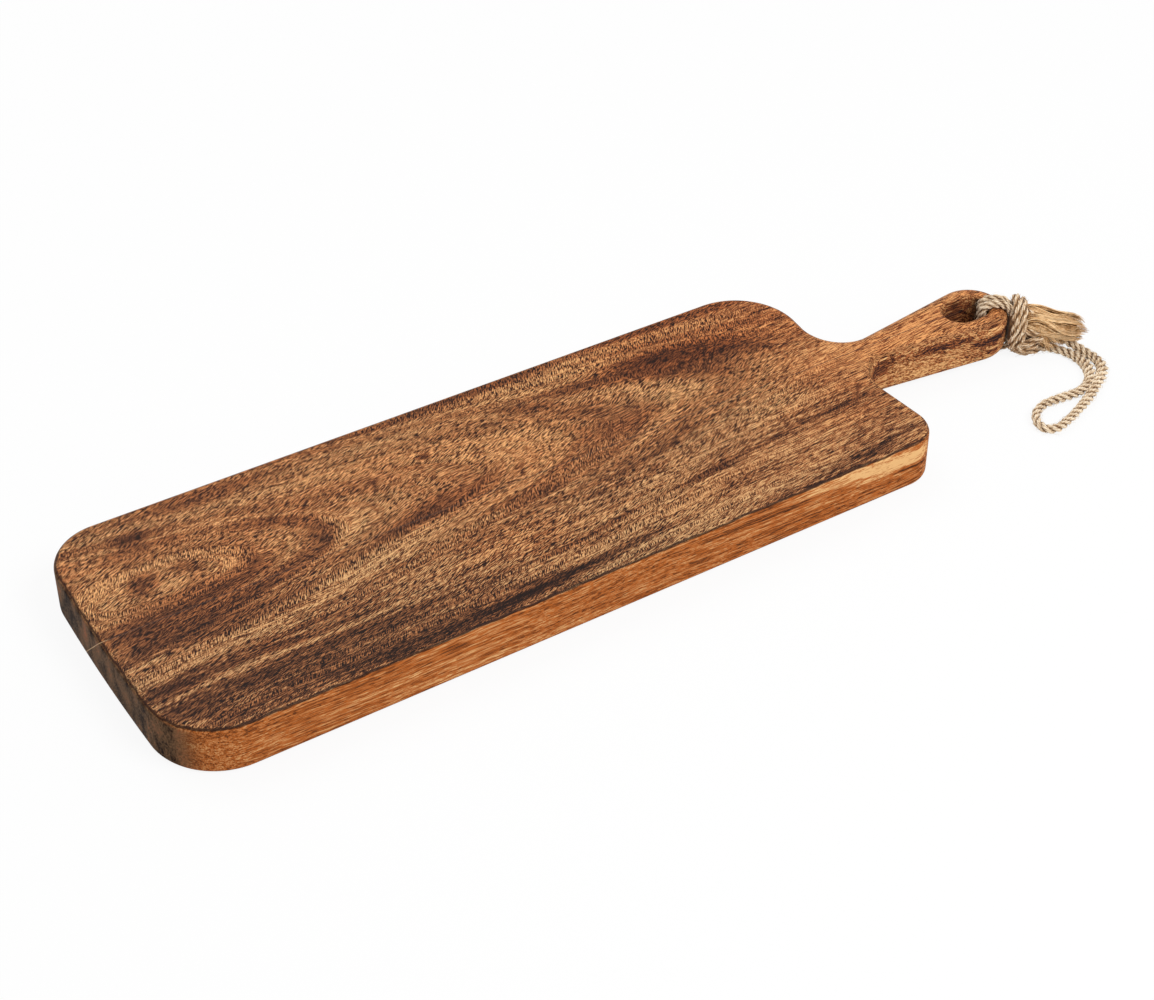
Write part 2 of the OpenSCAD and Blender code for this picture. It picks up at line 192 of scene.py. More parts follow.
class Bundle:
    """Gathers the points and faces of many thin tubes in one piece"""

    def __init__(self):
        self.verts, self.faces, self.uvs, self.unshaded_shares = [], [], [], []

    def tube(self, rings, shade=0.0, unshaded_share=1.0):
        """Skins closed rings of points, and closes both ends. The last argument is a share, or one for each point,
        of how far out of the painted shade a point is: 0 fully shaded, 1 unshaded
        """
        first = len(self.verts)
        sides = len(rings[0])
        run = 0.0
        for i, ring in enumerate(rings):
            if i:
                run += (ring[0] - rings[i - 1][0]).length
            for k, point in enumerate(ring):
                self.verts.append(point)
                self.uvs.append((k / sides + shade, run))
                self.unshaded_shares.append(unshaded_share[i][k] if isinstance(unshaded_share, list) else unshaded_share)
        for i in range(len(rings) - 1):
            for k in range(sides):
                a = first + i * sides + k
                b = first + i * sides + (k + 1) % sides
                self.faces.append((a, b, b + sides, a + sides))
        last = first + (len(rings) - 1) * sides
        self.faces.append(list(reversed(range(first, first + sides))))
        self.faces.append(list(range(last, last + sides)))

    def piece(self, name):
        """The tubes as one piece, with surface coordinates and, for each point, its share out of the painted shade
        """
        mesh = bpy.data.meshes.new(name)
        mesh.from_pydata(self.verts, [], self.faces)
        layer = mesh.uv_layers.new(name="UVMap")
        for loop in mesh.loops:
            layer.data[loop.index].uv = self.uvs[loop.vertex_index]
        mesh.attributes.new("unshaded_share", "FLOAT", "POINT").data.foreach_set("value", self.unshaded_shares)
        mesh.polygons.foreach_set("use_smooth", [True] * len(mesh.polygons))
        mesh.update()
        obj = bpy.data.objects.new(name, mesh)
        bpy.context.collection.objects.link(obj)
        return obj


CURVE_PARTS = 16


def smooth_line(points, step):
    """Even points, a step apart, on a smooth curve through the given points"""
    before, after = ([2 * a - b for a, b in zip(points[i], points[j])] for i, j in ((0, 1), (-1, -2)))
    knots = [before, *points, after]
    dense = []
    for four in zip(knots, knots[1:], knots[2:], knots[3:]):
        for k in range(CURVE_PARTS):
            t = k / CURVE_PARTS
            dense.append([0.5 * (2 * b + (c - a) * t + (2 * a - 5 * b + 4 * c - d) * t * t
                                 + (3 * b - a - 3 * c + d) * t ** 3) for a, b, c, d in zip(*four)])
    dense.append(list(points[-1]))
    lengths = [0.0]
    for a, b in zip(dense, dense[1:]):
        lengths.append(lengths[-1] + math.dist(a[:3], b[:3]))
    count = max(2, round(lengths[-1] / step))
    out, j = [], 0
    for i in range(count + 1):
        goal = lengths[-1] * i / count
        while j < len(lengths) - 2 and lengths[j + 1] < goal:
            j += 1
        t = (goal - lengths[j]) / max(1e-12, lengths[j + 1] - lengths[j])
        out.append([a + (b - a) * t for a, b in zip(dense[j], dense[j + 1])])
    return out


def heading(line, i):
    a, b = line[max(i - 1, 0)], line[min(i + 1, len(line) - 1)]
    return (Vector(b[:3]) - Vector(a[:3])).normalized()


def carried_axes(line, start=Vector((0, 0, 1))):
    """Two axes across the line at each of its points, carried along it without twist"""
    along = heading(line, 0)
    first = (start - along * start.dot(along)).normalized()
    axes = []
    for i in range(len(line)):
        along = heading(line, i)
        first = (first - along * first.dot(along)).normalized()
        axes.append((first, along.cross(first)))
    return axes


# Metres between a rope's sections, its make-up, and its sizes as shares of the rope's half thickness
ROPE_STEP = 0.0008
PLIES, YARNS, YARN_SIDES = 3, 5, 5
PLY_OUT, YARN_OUT, YARN_HALF = 0.47, 0.3, 0.23
YARN_LAY = 0.62
# Painted shade: a yarn's surface is fully shaded within CORE_SHARE of the rope's half thickness and unshaded past
# SKIN_SHARE
CORE_SHARE, SKIN_SHARE = 0.58, 0.94
ROPE_FILL, WRAP_FILL = 0.97, 0.95


def laid_rope(bundle, line, axes, halves, lay, phase=0.0, fray=0.0):
    """Twists yarns into plies and plies into a rope along the line. halves are its half sizes on the two axes"""
    for ply in range(PLIES):
        for yarn in range(YARNS):
            rings, unshaded_share = [], []
            for i, place in enumerate(line):
                run = i * ROPE_STEP
                turn = phase + 2 * math.pi * (ply / PLIES + run / lay)
                back = 2 * math.pi * (yarn / YARNS - run / (lay * YARN_LAY))
                out = Vector((math.cos(turn), math.sin(turn)))
                round_ = Vector((-out.y, out.x))
                wobble = 1 + fray * math.sin(run * 900 + ply * 2.1 + yarn * 1.3)
                spot = out * PLY_OUT + (out * math.cos(back) + round_ * math.sin(back)) * YARN_OUT * wobble
                first, second = axes[i]
                half_a, half_b = halves[i]
                ring, shares = [], []
                for a in full_turn(YARN_SIDES):
                    u = spot.x + YARN_HALF * math.cos(a + back)
                    v = spot.y + YARN_HALF * math.sin(a + back)
                    ring.append(Vector(place[:3]) + first * (u * half_a) + second * (v * half_b))
                    # Painted shade: the share falls where the yarn lies deep in the rope
                    shares.append(min(max((math.hypot(u, v) - CORE_SHARE) / (SKIN_SHARE - CORE_SHARE), 0), 1))
                rings.append(ring)
                unshaded_share.append(shares)
            bundle.tube(rings, shade=ply * 3 + yarn * 7, unshaded_share=unshaded_share)


FIBRE_SIDES, TIP_THINNING = 3, 0.75


def fibre(bundle, points, half, shade=0.0, unshaded_share=1.0):
    """One thin fibre through the points, thinning to its tip"""
    rings = []
    for i, (p, (first, second)) in enumerate(zip(points, carried_axes(points))):
        thin = half * (1 - TIP_THINNING * (i / (len(points) - 1)) ** 2)
        rings.append([Vector(p) + first * thin * math.cos(a) + second * thin * math.sin(a)
                      for a in full_turn(FIBRE_SIDES)])
    bundle.tube(rings, shade=shade, unshaded_share=unshaded_share)


# Loose hairs, in metres: how far they stand off, their length and half thickness, and their root's depth as a share
LONG_HAIR, SHORT_HAIR = 0.0022, 0.0014
LOOSE_LENGTH, LOOSE_HALF = (0.0018, 0.0055), (0.00006, 0.00011)
LOOSE_ROOT, LOOSE_POINTS = 0.9, 5


def hairs(bundle, line, axes, halves, count, rng, reach=LONG_HAIR):
    """Short loose hairs that stand off a rope"""
    for _ in range(count):
        i = rng.randrange(2, len(line) - 3)
        turn = rng.uniform(0, 2 * math.pi)
        first, second = axes[i]
        out = first * math.cos(turn) + second * math.sin(turn)
        half_a, half_b = halves[i]
        root = (Vector(line[i][:3]) + first * (math.cos(turn) * half_a * LOOSE_ROOT)
                + second * (math.sin(turn) * half_b * LOOSE_ROOT))
        along = heading(line, i) * rng.choice((-1, 1))
        round_ = along.cross(out)
        length = rng.uniform(*LOOSE_LENGTH)
        lift = rng.uniform(0.15, 1.0) * reach
        curl = rng.uniform(-0.5, 0.5) * length
        points = []
        for k in range(LOOSE_POINTS):
            t = k / (LOOSE_POINTS - 1)
            p = root + along * (length * t) + out * (lift * math.sin(t * 2.2)) + round_ * (curl * t * t)
            p.z = max(p.z, 0.0001)
            points.append(p)
        fibre(bundle, points, rng.uniform(*LOOSE_HALF), shade=rng.random() * 5)


def rope_piece(bundle, node, form, look, body="hitch"):
    """Makes the bundle the piece that stands for a node, in one of the looks of jute"""
    piece = bundle.piece(node + form)
    piece.data.materials.append(jute_material(look, bpy.context.scene.finishes))
    return settle(piece, body, node)


# Places on the hanger

def hitch_axes():
    turn = bpy.context.scene.rope_sizes.turn
    return Vector((math.cos(turn), -math.sin(turn), 0)), Vector((math.sin(turn), math.cos(turn), 0))


def hitch_middle():
    sizes = bpy.context.scene.board_sizes
    return Vector((sizes.length / 2 - sizes.tip_radius, sizes.tip_shift, 0))


def at_hitch(out, side, height):
    """Place from the hole's outer end: out along the rope, across it, and above the table"""
    away, across = hitch_axes()
    return hitch_middle() + away * out + across * side + Vector((0, 0, height))


# The loop's path from the hole's middle in mm, and how flat the rope lies there
LOOP_PLACES = [
    (44.3, -32, 9.8, 1), (48.8, -35.5, 9, 1), (53.6, -40, 6, 1.1), (57.2, -47, 3.6, 1.4), (58.6, -55, 3.1, 1.45),
    (56.6, -63, 3.1, 1.45), (50.2, -70, 3.1, 1.35), (41.4, -75.8, 3.1, 1.25), (32.4, -81.4, 3.1, 1.2),
    (23.6, -86, 3.1, 1.15), (13, -90.6, 3.1, 1.05), (2, -94.8, 3.1, 1), (-7, -96.8, 3.1, 1), (-13.5, -93.5, 3.1, 1),
    (-13.5, -85.6, 3.1, 1), (-8, -78.4, 3.1, 1), (1, -74.6, 3.1, 1), (11.5, -74.6, 3.1, 1.1), (22, -75.6, 3.1, 1.2),
    (31.6, -75, 3.1, 1.25), (39.6, -71, 3.1, 1.3), (45.8, -64.2, 3.1, 1.4), (49.4, -55.8, 3.1, 1.45),
    (49.9, -47.3, 3.1, 1.4), (47.2, -39.8, 3.1, 1.1), (43.6, -33.6, 3.1, 1)]
LOOP_START, LOOP_END = (39.4, -28.4, 9.8, 1), (39.4, -28.4, 3.1, 1)


# Where the strand bends round the wood's upper edge and the hole's rim, in degrees from level
CROWN_TURNS, RIM_TURNS = (18, 34, 50, 66, 82), (118, 145, 172)


def strand_places():
    """Strand round the wood: out from the hole's outer end, height and half thickness, in metres"""
    board, rope = bpy.context.scene.board_sizes, bpy.context.scene.rope_sizes
    thick, strand, gap = board.thickness, rope.strand, rope.gap
    shift = (strand + gap) / 2
    hole_in = math.sqrt(board.hole_radius ** 2 - (strand + gap / 2) ** 2)
    wall_in = math.sqrt((board.hole_radius - strand / 2 - gap) ** 2 - shift ** 2)
    wall_out = board.tip_radius
    crown_r = board.handle_edge + strand / 2 + gap
    rim_r = board.hole_edge + strand / 2 + gap
    crown = (wall_out - board.handle_edge, thick - board.handle_edge)
    rim = (hole_in + board.hole_edge, thick - board.hole_edge)
    squash = board.heel_rise - rope.knot_clear - gap * 1.2
    squash_z = rope.knot_clear + squash / 2
    root = rope.knot_reach - rope.knot_length / 4
    places = [(root, thick - 2 * board.hole_edge - strand / 2, strand / 2)]
    for (x, z), radius, turns in ((crown, crown_r, CROWN_TURNS), (rim, rim_r, RIM_TURNS)):
        for a in map(math.radians, turns):
            places.append((x + radius * math.cos(a), z + radius * math.sin(a), strand / 2))
    places.append((wall_in, thick / 2, strand / 2))
    for inward, rise, half in ((0, 3.4, 0.5), (0, 2.3, 0.42), (0.07, 1.3, 0.28)):
        places.append((wall_in + strand * inward, board.heel_rise * rise, strand * half))
    places += [(hole_in - strand / 8, squash_z + gap / 3, squash / 2),
               (board.hole_radius + strand / 3, squash_z, squash / 2),
               (wall_out - strand, squash_z, squash / 2),
               (wall_out, squash_z + gap, squash / 2 + gap / 3),
               (wall_out + strand * 0.5, strand * 0.85, strand * 0.4),
               (root, strand * 1.5 + gap, strand / 2)]
    return places


# The camera, fitted to the board's outline: focal length and width in pixels, way back and place in metres
FOCAL, PHOTO_WIDTH = 2534.547, 1154
CAMERA_TURN = -31.556
CAMERA_BACK = (-0.40097, -0.65290, 0.64261)
CAMERA_PLACE = (-0.603596, -0.970019, 0.956473)


class SERVINGBOARD_OT_camera(Operator):
    """Puts the camera where the photograph was taken from"""
    bl_idname = "servingboard.camera"
    bl_label = "Camera"

    def execute(self, context):
        data = bpy.data.cameras.new("camera")
        data.sensor_width = 36.0
        data.lens = data.sensor_width * FOCAL / PHOTO_WIDTH
        data.clip_start, data.clip_end = 0.05, 20.0
        camera = bpy.data.objects.new("camera", data)
        context.collection.objects.link(camera)
        turn = math.radians(CAMERA_TURN)
        back = Vector(CAMERA_BACK).normalized()
        right = Vector((math.cos(turn), math.sin(turn), 0))
        up = back.cross(right)
        place = Matrix((right, up, back)).transposed().to_4x4()
        place.translation = Vector(CAMERA_PLACE)
        camera.matrix_world = place
        context.scene.camera = camera
        return {"FINISHED"}


class SERVINGBOARD_OT_hole_strands(Operator):
    """Lays the two strands of rope that go through the hole and round the handle's end"""
    bl_idname = "servingboard.hole_strands"
    bl_label = "Hole strands"

    def execute(self, context):
        rope = context.scene.rope_sizes
        rng = random.Random(rope.seed)
        shift = (rope.strand + rope.gap) / 2
        _, across = hitch_axes()
        for name, side in (("front_hole_strand", -shift), ("rear_hole_strand", shift)):
            flat = smooth_line([(out, height, 0.0, half) for out, height, half in strand_places()], ROPE_STEP)
            line = [at_hitch(p[0], side, p[1]) for p in flat]
            axes, halves = [], []
            for i, p in enumerate(flat):
                first = across.cross(heading(line, i)).normalized()
                axes.append((first, across))
                halves.append((p[3], rope.strand / 2))
            bundle = Bundle()
            laid_rope(bundle, line, axes, halves, rope.lay, phase=side * 900)
            hairs(bundle, line, axes, halves, 90, rng, reach=SHORT_HAIR)
            piece = rope_piece(bundle, name, "_rope", "jute_rope")
        return {"FINISHED"}


# The knot's strands: out from the hole's outer end, across and above the table, in mm
WRAP_STRANDS = [
    [(34, 7, 4), (33, 12, 9), (31.8, 13.4, 17), (30.6, 11, 26), (29, 5.2, 33.6), (28.3, -2.2, 34.4),
     (27.4, -9, 29), (26.2, -12.8, 19), (25.4, -12.6, 11), (26.5, -8.5, 4.8)],
    [(37.8, 6, 4.4), (37.4, 11.6, 9), (36.4, 13, 17), (34.9, 11, 25), (33.3, 4.6, 31.2), (32.4, -3, 31.6),
     (31.2, -10, 26.4), (30.4, -13.4, 18), (29.8, -13, 10), (30.6, -9, 4.8)],
]
LEG_STRANDS = [
    [(27, -10.6, 13), (29, -12.6, 8.6), (33, -13, 6.6), (38, -11.6, 7.2), (43, -8.8, 9), (48.1, -6.6, 9.8),
     (50.2, -6.9, 9.8)],
    [(26.6, -7, 6.5), (30, -9.5, 3.6), (36, -10.5, 3.1), (42, -8.6, 3.1), (48.1, -6.6, 3.1), (50.2, -6.9, 3.1)],
]
CROSSING_STRANDS = [
    [(28, -12, 9), (33, -13.4, 10.6), (39, -13, 13.2), (45, -11, 15), (51, -9, 15.5)],
    [(30, -10, 23), (34, -12, 20), (39, -11.5, 18), (44, -9, 18)],
    [(32, 2, 28.5), (36, -3, 27.6), (40, -7.5, 24.5), (44, -9, 20)],
    [(32, 7, 26.5), (37, 3.5, 26.5), (42, -0.5, 24.5), (47, -4, 21)],
]
# The knot's body: sections out from the hole's outer end and their half sizes, in mm
CORE_SECTIONS = [(23.4, 7.5), (23.9, 9.6), (26, 11), (31, 11.6), (37, 11.2), (42, 9), (45, 5)]
CORE_SIDES = 28
CORE_CROWN = 1.18
KNOT_LAY, KNOT_FRAY = 1.7, 0.25


class SERVINGBOARD_OT_knot(Operator):
    """Ties the knot: its body, the strands that leave it and the doubled strand that wraps it"""
    bl_idname = "servingboard.knot"
    bl_label = "Knot"

    def execute(self, context):
        rope = context.scene.rope_sizes
        rng = random.Random(rope.seed + 1)
        away, _ = hitch_axes()
        middle = rope.knot_clear + rope.wrap_diameter / 2
        core = Bundle()
        # The knot's body is a dark core: painted shade deep in the knot
        core.tube([[at_hitch(out / 1000, half / 1000 * math.cos(a),
                             middle + half / 1000 * math.sin(a) * (CORE_CROWN if a < math.pi else 1))
                    for a in full_turn(CORE_SIDES)] for out, half in CORE_SECTIONS], unshaded_share=0.05)

        def strand(bundle, places, half, phase=0.0, hair=16):
            line = smooth_line([at_hitch(*[a / 1000 for a in p]) for p in places], ROPE_STEP)
            axes = carried_axes(line, away)
            halves = [(half, half)] * len(line)
            laid_rope(bundle, line, axes, halves, rope.lay * KNOT_LAY, phase=phase, fray=KNOT_FRAY)
            hairs(bundle, line, axes, halves, hair, rng)

        for n, places in enumerate(LEG_STRANDS):
            strand(core, places, rope.diameter / 2 * ROPE_FILL, phase=n)
        for n, places in enumerate(CROSSING_STRANDS):
            strand(core, places, rope.strand / 2, phase=n * 0.7)
        rope_piece(core, "knot_core", "_rope", "knotted_jute")
        wrap = Bundle()
        for n, places in enumerate(WRAP_STRANDS):
            strand(wrap, places, rope.diameter / 2 * WRAP_FILL, phase=n * 1.3, hair=40)
        rope_piece(wrap, "knot_wrap", "_rope", "knotted_jute")
        return {"FINISHED"}


# The frayed ends: out from the hole's outer end, across, above the table, half width and half height, in mm
UPPER_FRAY = [(30, -2, 20, 9, 9.5), (36, -2.5, 21, 10.5, 9.4), (44, -3, 20.6, 11, 8), (53, -4, 18.4, 11, 6.8),
              (61, -5, 17.4, 10.6, 6.8), (67, -5.6, 17, 9.4, 6.6), (71.5, -6, 15.4, 7, 4.4)]
LOWER_FRAY = [(35, -6, 19.5, 4, 4), (42, -7.8, 17.8, 4.8, 4), (49, -10.6, 13.2, 6.6, 3.2),
              (54.5, -13.4, 8, 8.6, 2.4)]
FRAY_STEP = 1.2
FRAY_SIDES = 32
HAIRS_EACH = 20
HAIR_POINTS = 10
HAIR_STEP = 0.0025
HAIR_THICKNESS = (0.00015, 0.00034)
FILLED_SHARE = 0.72


def brush(bundle, outline, wide, filled, locks, rng, swirl, curl):
    """A frayed end: a filled body and locks of fibres along it that curl and end unevenly"""
    stations = smooth_line(outline, FRAY_STEP)
    last = len(stations) - 1
    middles = [Vector(s[:3]) for s in stations]
    ahead = [(middles[min(i + 1, last)] - middles[max(i - 1, 0)]).normalized() for i in range(last + 1)]
    length = sum((q - p).length for p, q in zip(middles, middles[1:]))

    def spot(place, angle, share, off=Vector()):
        i = min(int(place), last - 1)
        half_width, half_height = [p + (q - p) * (place - i) for p, q in zip(stations[i][3:], stations[i + 1][3:])]
        p = (middles[i].lerp(middles[i + 1], place - i) + wide * (half_width * share * math.cos(angle))
             + ahead[i].cross(wide).normalized() * (half_height * share * math.sin(angle)) + off)
        return at_hitch(p.x / 1000, p.y / 1000, max(0.3, p.z) / 1000)

    # The filled body is a dark core: painted shade between the locks
    bundle.tube([[spot(i, a, FILLED_SHARE * (1 - 0.5 * max(0, i / last - 0.6))) for a in full_turn(FRAY_SIDES)]
                 for i in range(round(last * filled))], unshaded_share=0.1)
    for n in range(locks):
        angle, turn = 2 * math.pi * (n + rng.random()) / locks * 3, rng.uniform(-swirl, swirl)
        deep, flare = rng.uniform(0.55, 1.0) ** 0.5, rng.uniform(-0.25, 0.3)
        tail = Vector((rng.uniform(-0.5, 0.3), rng.uniform(-1, 0.6), rng.uniform(-1, 0.6))) * curl
        start, reach = rng.uniform(0, 0.3), rng.uniform(0.76, 0.99)
        bend, wave, light = rng.uniform(0, 6.3), rng.uniform(0.08, 0.34), rng.uniform(-0.35, 0.4)
        for _ in range(HAIRS_EACH):
            a, spread = angle + rng.gauss(0, 0.11), deep + rng.gauss(0, 0.06)
            first, stop = start + rng.uniform(-0.06, 0.06), reach + rng.gauss(0, 0.03)
            points = []
            for k in range(HAIR_POINTS):
                t = max(0.0, first + (stop - first) * k / (HAIR_POINTS - 1))
                points.append(spot(min(t, 1) * last, a + turn * t + wave * math.sin(bend + 8 * t),
                                   spread * (1 + flare * max(0, t - 0.5)),
                                   tail * (max(0, t - 0.65) ** 2 * 9) + ahead[last] * (max(0, t - 1) * length)))
            points = [Vector(p) for p in smooth_line(points, HAIR_STEP)]
            # Fibres inside the filled body get painted shade; each lock's light shifts its tone at random
            fibre(bundle, points, rng.uniform(*HAIR_THICKNESS), shade=rng.random() * 9,
                  unshaded_share=min(1, max(0, (spread - FILLED_SHARE) * 3 + light)))


class SERVINGBOARD_OT_frayed_ends(Operator):
    """Combs out the two frayed ends of the rope"""
    bl_idname = "servingboard.frayed_ends"
    bl_label = "Frayed ends"

    def execute(self, context):
        rng = random.Random(context.scene.rope_sizes.seed + 2)
        for name, outline, wide, filled, locks, swirl, curl in (
                ("upper_frayed_end", UPPER_FRAY, Vector((0, 1, 0)), 0.88, 48, 1.2, 2.6),
                ("lower_frayed_end", LOWER_FRAY, Vector((0.924, 0.26, 0.28)), 0.7, 26, 0.3, 1.0)):
            bundle = Bundle()
            brush(bundle, outline, wide, filled, locks, rng, swirl, curl)
            rope_piece(bundle, name, "_fibres", "frayed_jute")
        return {"FINISHED"}


class SERVINGBOARD_OT_loop(Operator):
    """Lays the hanging loop, one length of rope from the knot and back to it"""
    bl_idname = "servingboard.loop"
    bl_label = "Hanging loop"

    def execute(self, context):
        rope = context.scene.rope_sizes
        rng = random.Random(rope.seed + 3)
        middle = hitch_middle()
        places = [LOOP_START] + LOOP_PLACES + [LOOP_END]
        line = smooth_line([(*(middle + Vector(p[:3]) / 1000), p[3]) for p in places], ROPE_STEP)
        half = rope.diameter / 2 * ROPE_FILL
        halves = [(half, half * p[3]) for p in line]
        line = [Vector(p[:3]) for p in line]
        axes = carried_axes(line)
        bundle = Bundle()
        laid_rope(bundle, line, axes, halves, rope.lay, fray=0.1)
        hairs(bundle, line, axes, halves, 420, rng, reach=SHORT_HAIR)
        piece = rope_piece(bundle, "hanging_loop", "_rope", "jute_rope", body="loop")
        return {"FINISHED"}


# The board

def round_corner(before, tip, after, radius, edges, steps):
    """Arc that rounds the corner at tip, each point with its edge rounding"""
    a, b = (before - tip).normalized(), (after - tip).normalized()
    half = a.angle(b) / 2
    middle = tip + (a + b).normalized() * (radius / math.sin(half))
    start = tip + a * (radius / math.tan(half)) - middle
    stop = tip + b * (radius / math.tan(half)) - middle
    sweep = (math.atan2(stop.y, stop.x) - math.atan2(start.y, start.x) + math.pi) % (2 * math.pi) - math.pi
    first = math.atan2(start.y, start.x)
    out = []
    for i in range(steps):
        t = i / (steps - 1)
        a = first + sweep * t
        out.append((middle.x + radius * math.cos(a), middle.y + radius * math.sin(a),
                    edges[0] + (edges[1] - edges[0]) * (3 * t * t - 2 * t ** 3)))
    return out


# Steps round the tip and each end of the hole, and points on a corner's arc
TIP_PARTS, HOLE_PARTS = 64, 32
ARC, WIDE_ARC = 26, 30
# How far two heights may differ in a level edge, the length below which an edge goes, and the widest smooth angle
LEVEL, SLIVER, SMOOTH_BELOW = 1e-6, 5e-5, math.radians(35)


def board_outline(sizes):
    """Outline of the board seen from above, each point with its edge rounding"""
    end_half = math.atan(sizes.width / 2 / sizes.end_bow)
    bow_radius = (sizes.width / 2 - 1.1 * max(sizes.front_corner, sizes.rear_corner)) * math.tan(end_half)
    bow_x = -sizes.length / 2 - bow_radius * (1 / math.sin(end_half) - 1)
    end_x = bow_x + sizes.end_bow
    tip = Vector((sizes.length / 2 - sizes.tip_radius, sizes.tip_shift))

    def back(distance, y):
        return Vector((sizes.length / 2 - distance, y))

    def touch(point, side):
        away = tip - point
        return math.atan2(-away.y, -away.x) - side * math.acos(sizes.tip_radius / away.length)

    def on_tip(a):
        return tip + Vector((math.cos(a), math.sin(a))) * sizes.tip_radius

    front_neck = back(sizes.front_neck, -sizes.front_neck_half)
    rear_neck = back(sizes.rear_neck, sizes.rear_neck_half)
    first, last = touch(front_neck, -1), touch(rear_neck, 1)
    sweep = (last - first) % (2 * math.pi)
    edge, handle_edge = sizes.edge, sizes.handle_edge
    # Place, radius, edge rounding before and after, points. The two without a radius are the ends of the tip's arc
    corners = [
        (Vector((end_x, sizes.width / 2)), sizes.rear_corner, (edge, edge), ARC),
        (Vector((bow_x, 0)), bow_radius, (edge, edge), ARC),
        (Vector((end_x, -sizes.width / 2)), sizes.front_corner, (edge, edge), WIDE_ARC),
        (back(sizes.front_shoulder, -sizes.shoulder_width / 2), sizes.front_shoulder_radius, (edge, edge), ARC),
        (front_neck, sizes.front_neck_radius, (edge, handle_edge), ARC),
        (on_tip(first), None, None, None),
        (on_tip(last), None, None, None),
        (rear_neck, sizes.rear_neck_radius, (handle_edge, edge), ARC),
        (back(sizes.rear_shoulder, sizes.shoulder_width / 2), sizes.rear_shoulder_radius, (edge, edge), WIDE_ARC),
    ]
    outline = []
    for i, (corner, radius, edges, points) in enumerate(corners):
        if radius:
            after = corners[(i + 1) % len(corners)][0]
            outline += round_corner(corners[i - 1][0], corner, after, radius, edges, points)
        elif not corners[i - 1][1]:
            outline += [(*on_tip(first + sweep * k / TIP_PARTS), handle_edge) for k in range(TIP_PARTS + 1)]
    return outline


def edit_all(operator, **settings):
    """Runs an operator of edit mode on all of the active mesh"""
    bpy.ops.object.mode_set(mode="EDIT")
    bpy.ops.mesh.select_all(action="SELECT")
    operator(**settings)
    bpy.ops.object.mode_set(mode="OBJECT")


def round_edges(obj, width, segments, weight):
    """Rounds each edge by the width times the weight that weight(a, b) says for its two ends"""
    mesh = obj.data
    layer = mesh.attributes.get("bevel_weight_edge") or mesh.attributes.new("bevel_weight_edge", "FLOAT", "EDGE")
    for edge in mesh.edges:
        a, b = (mesh.vertices[i].co for i in edge.vertices)
        layer.data[edge.index].value = 0.0 if abs(a.z - b.z) > LEVEL else weight(a, b)
    apply_modifier(obj, "BEVEL", limit_method="WEIGHT", width=width, segments=segments, use_clamp_overlap=False,
                   offset_type="OFFSET")


def raised_outline(name, points, low, high):
    """A slab between two heights whose outline goes through the points"""
    deselect()
    bpy.ops.mesh.primitive_circle_add(vertices=len(points), radius=0.1, fill_type="NGON", location=(0, 0, 0))
    slab = bpy.context.object
    slab.name = slab.data.name = name
    for vertex, point in zip(slab.data.vertices, points):
        vertex.co = (point[0], point[1], low)
    edit_all(bpy.ops.mesh.extrude_region_move, TRANSFORM_OT_translate={"value": (0, 0, high - low)})
    edit_all(bpy.ops.mesh.normals_make_consistent, inside=False)
    return slab


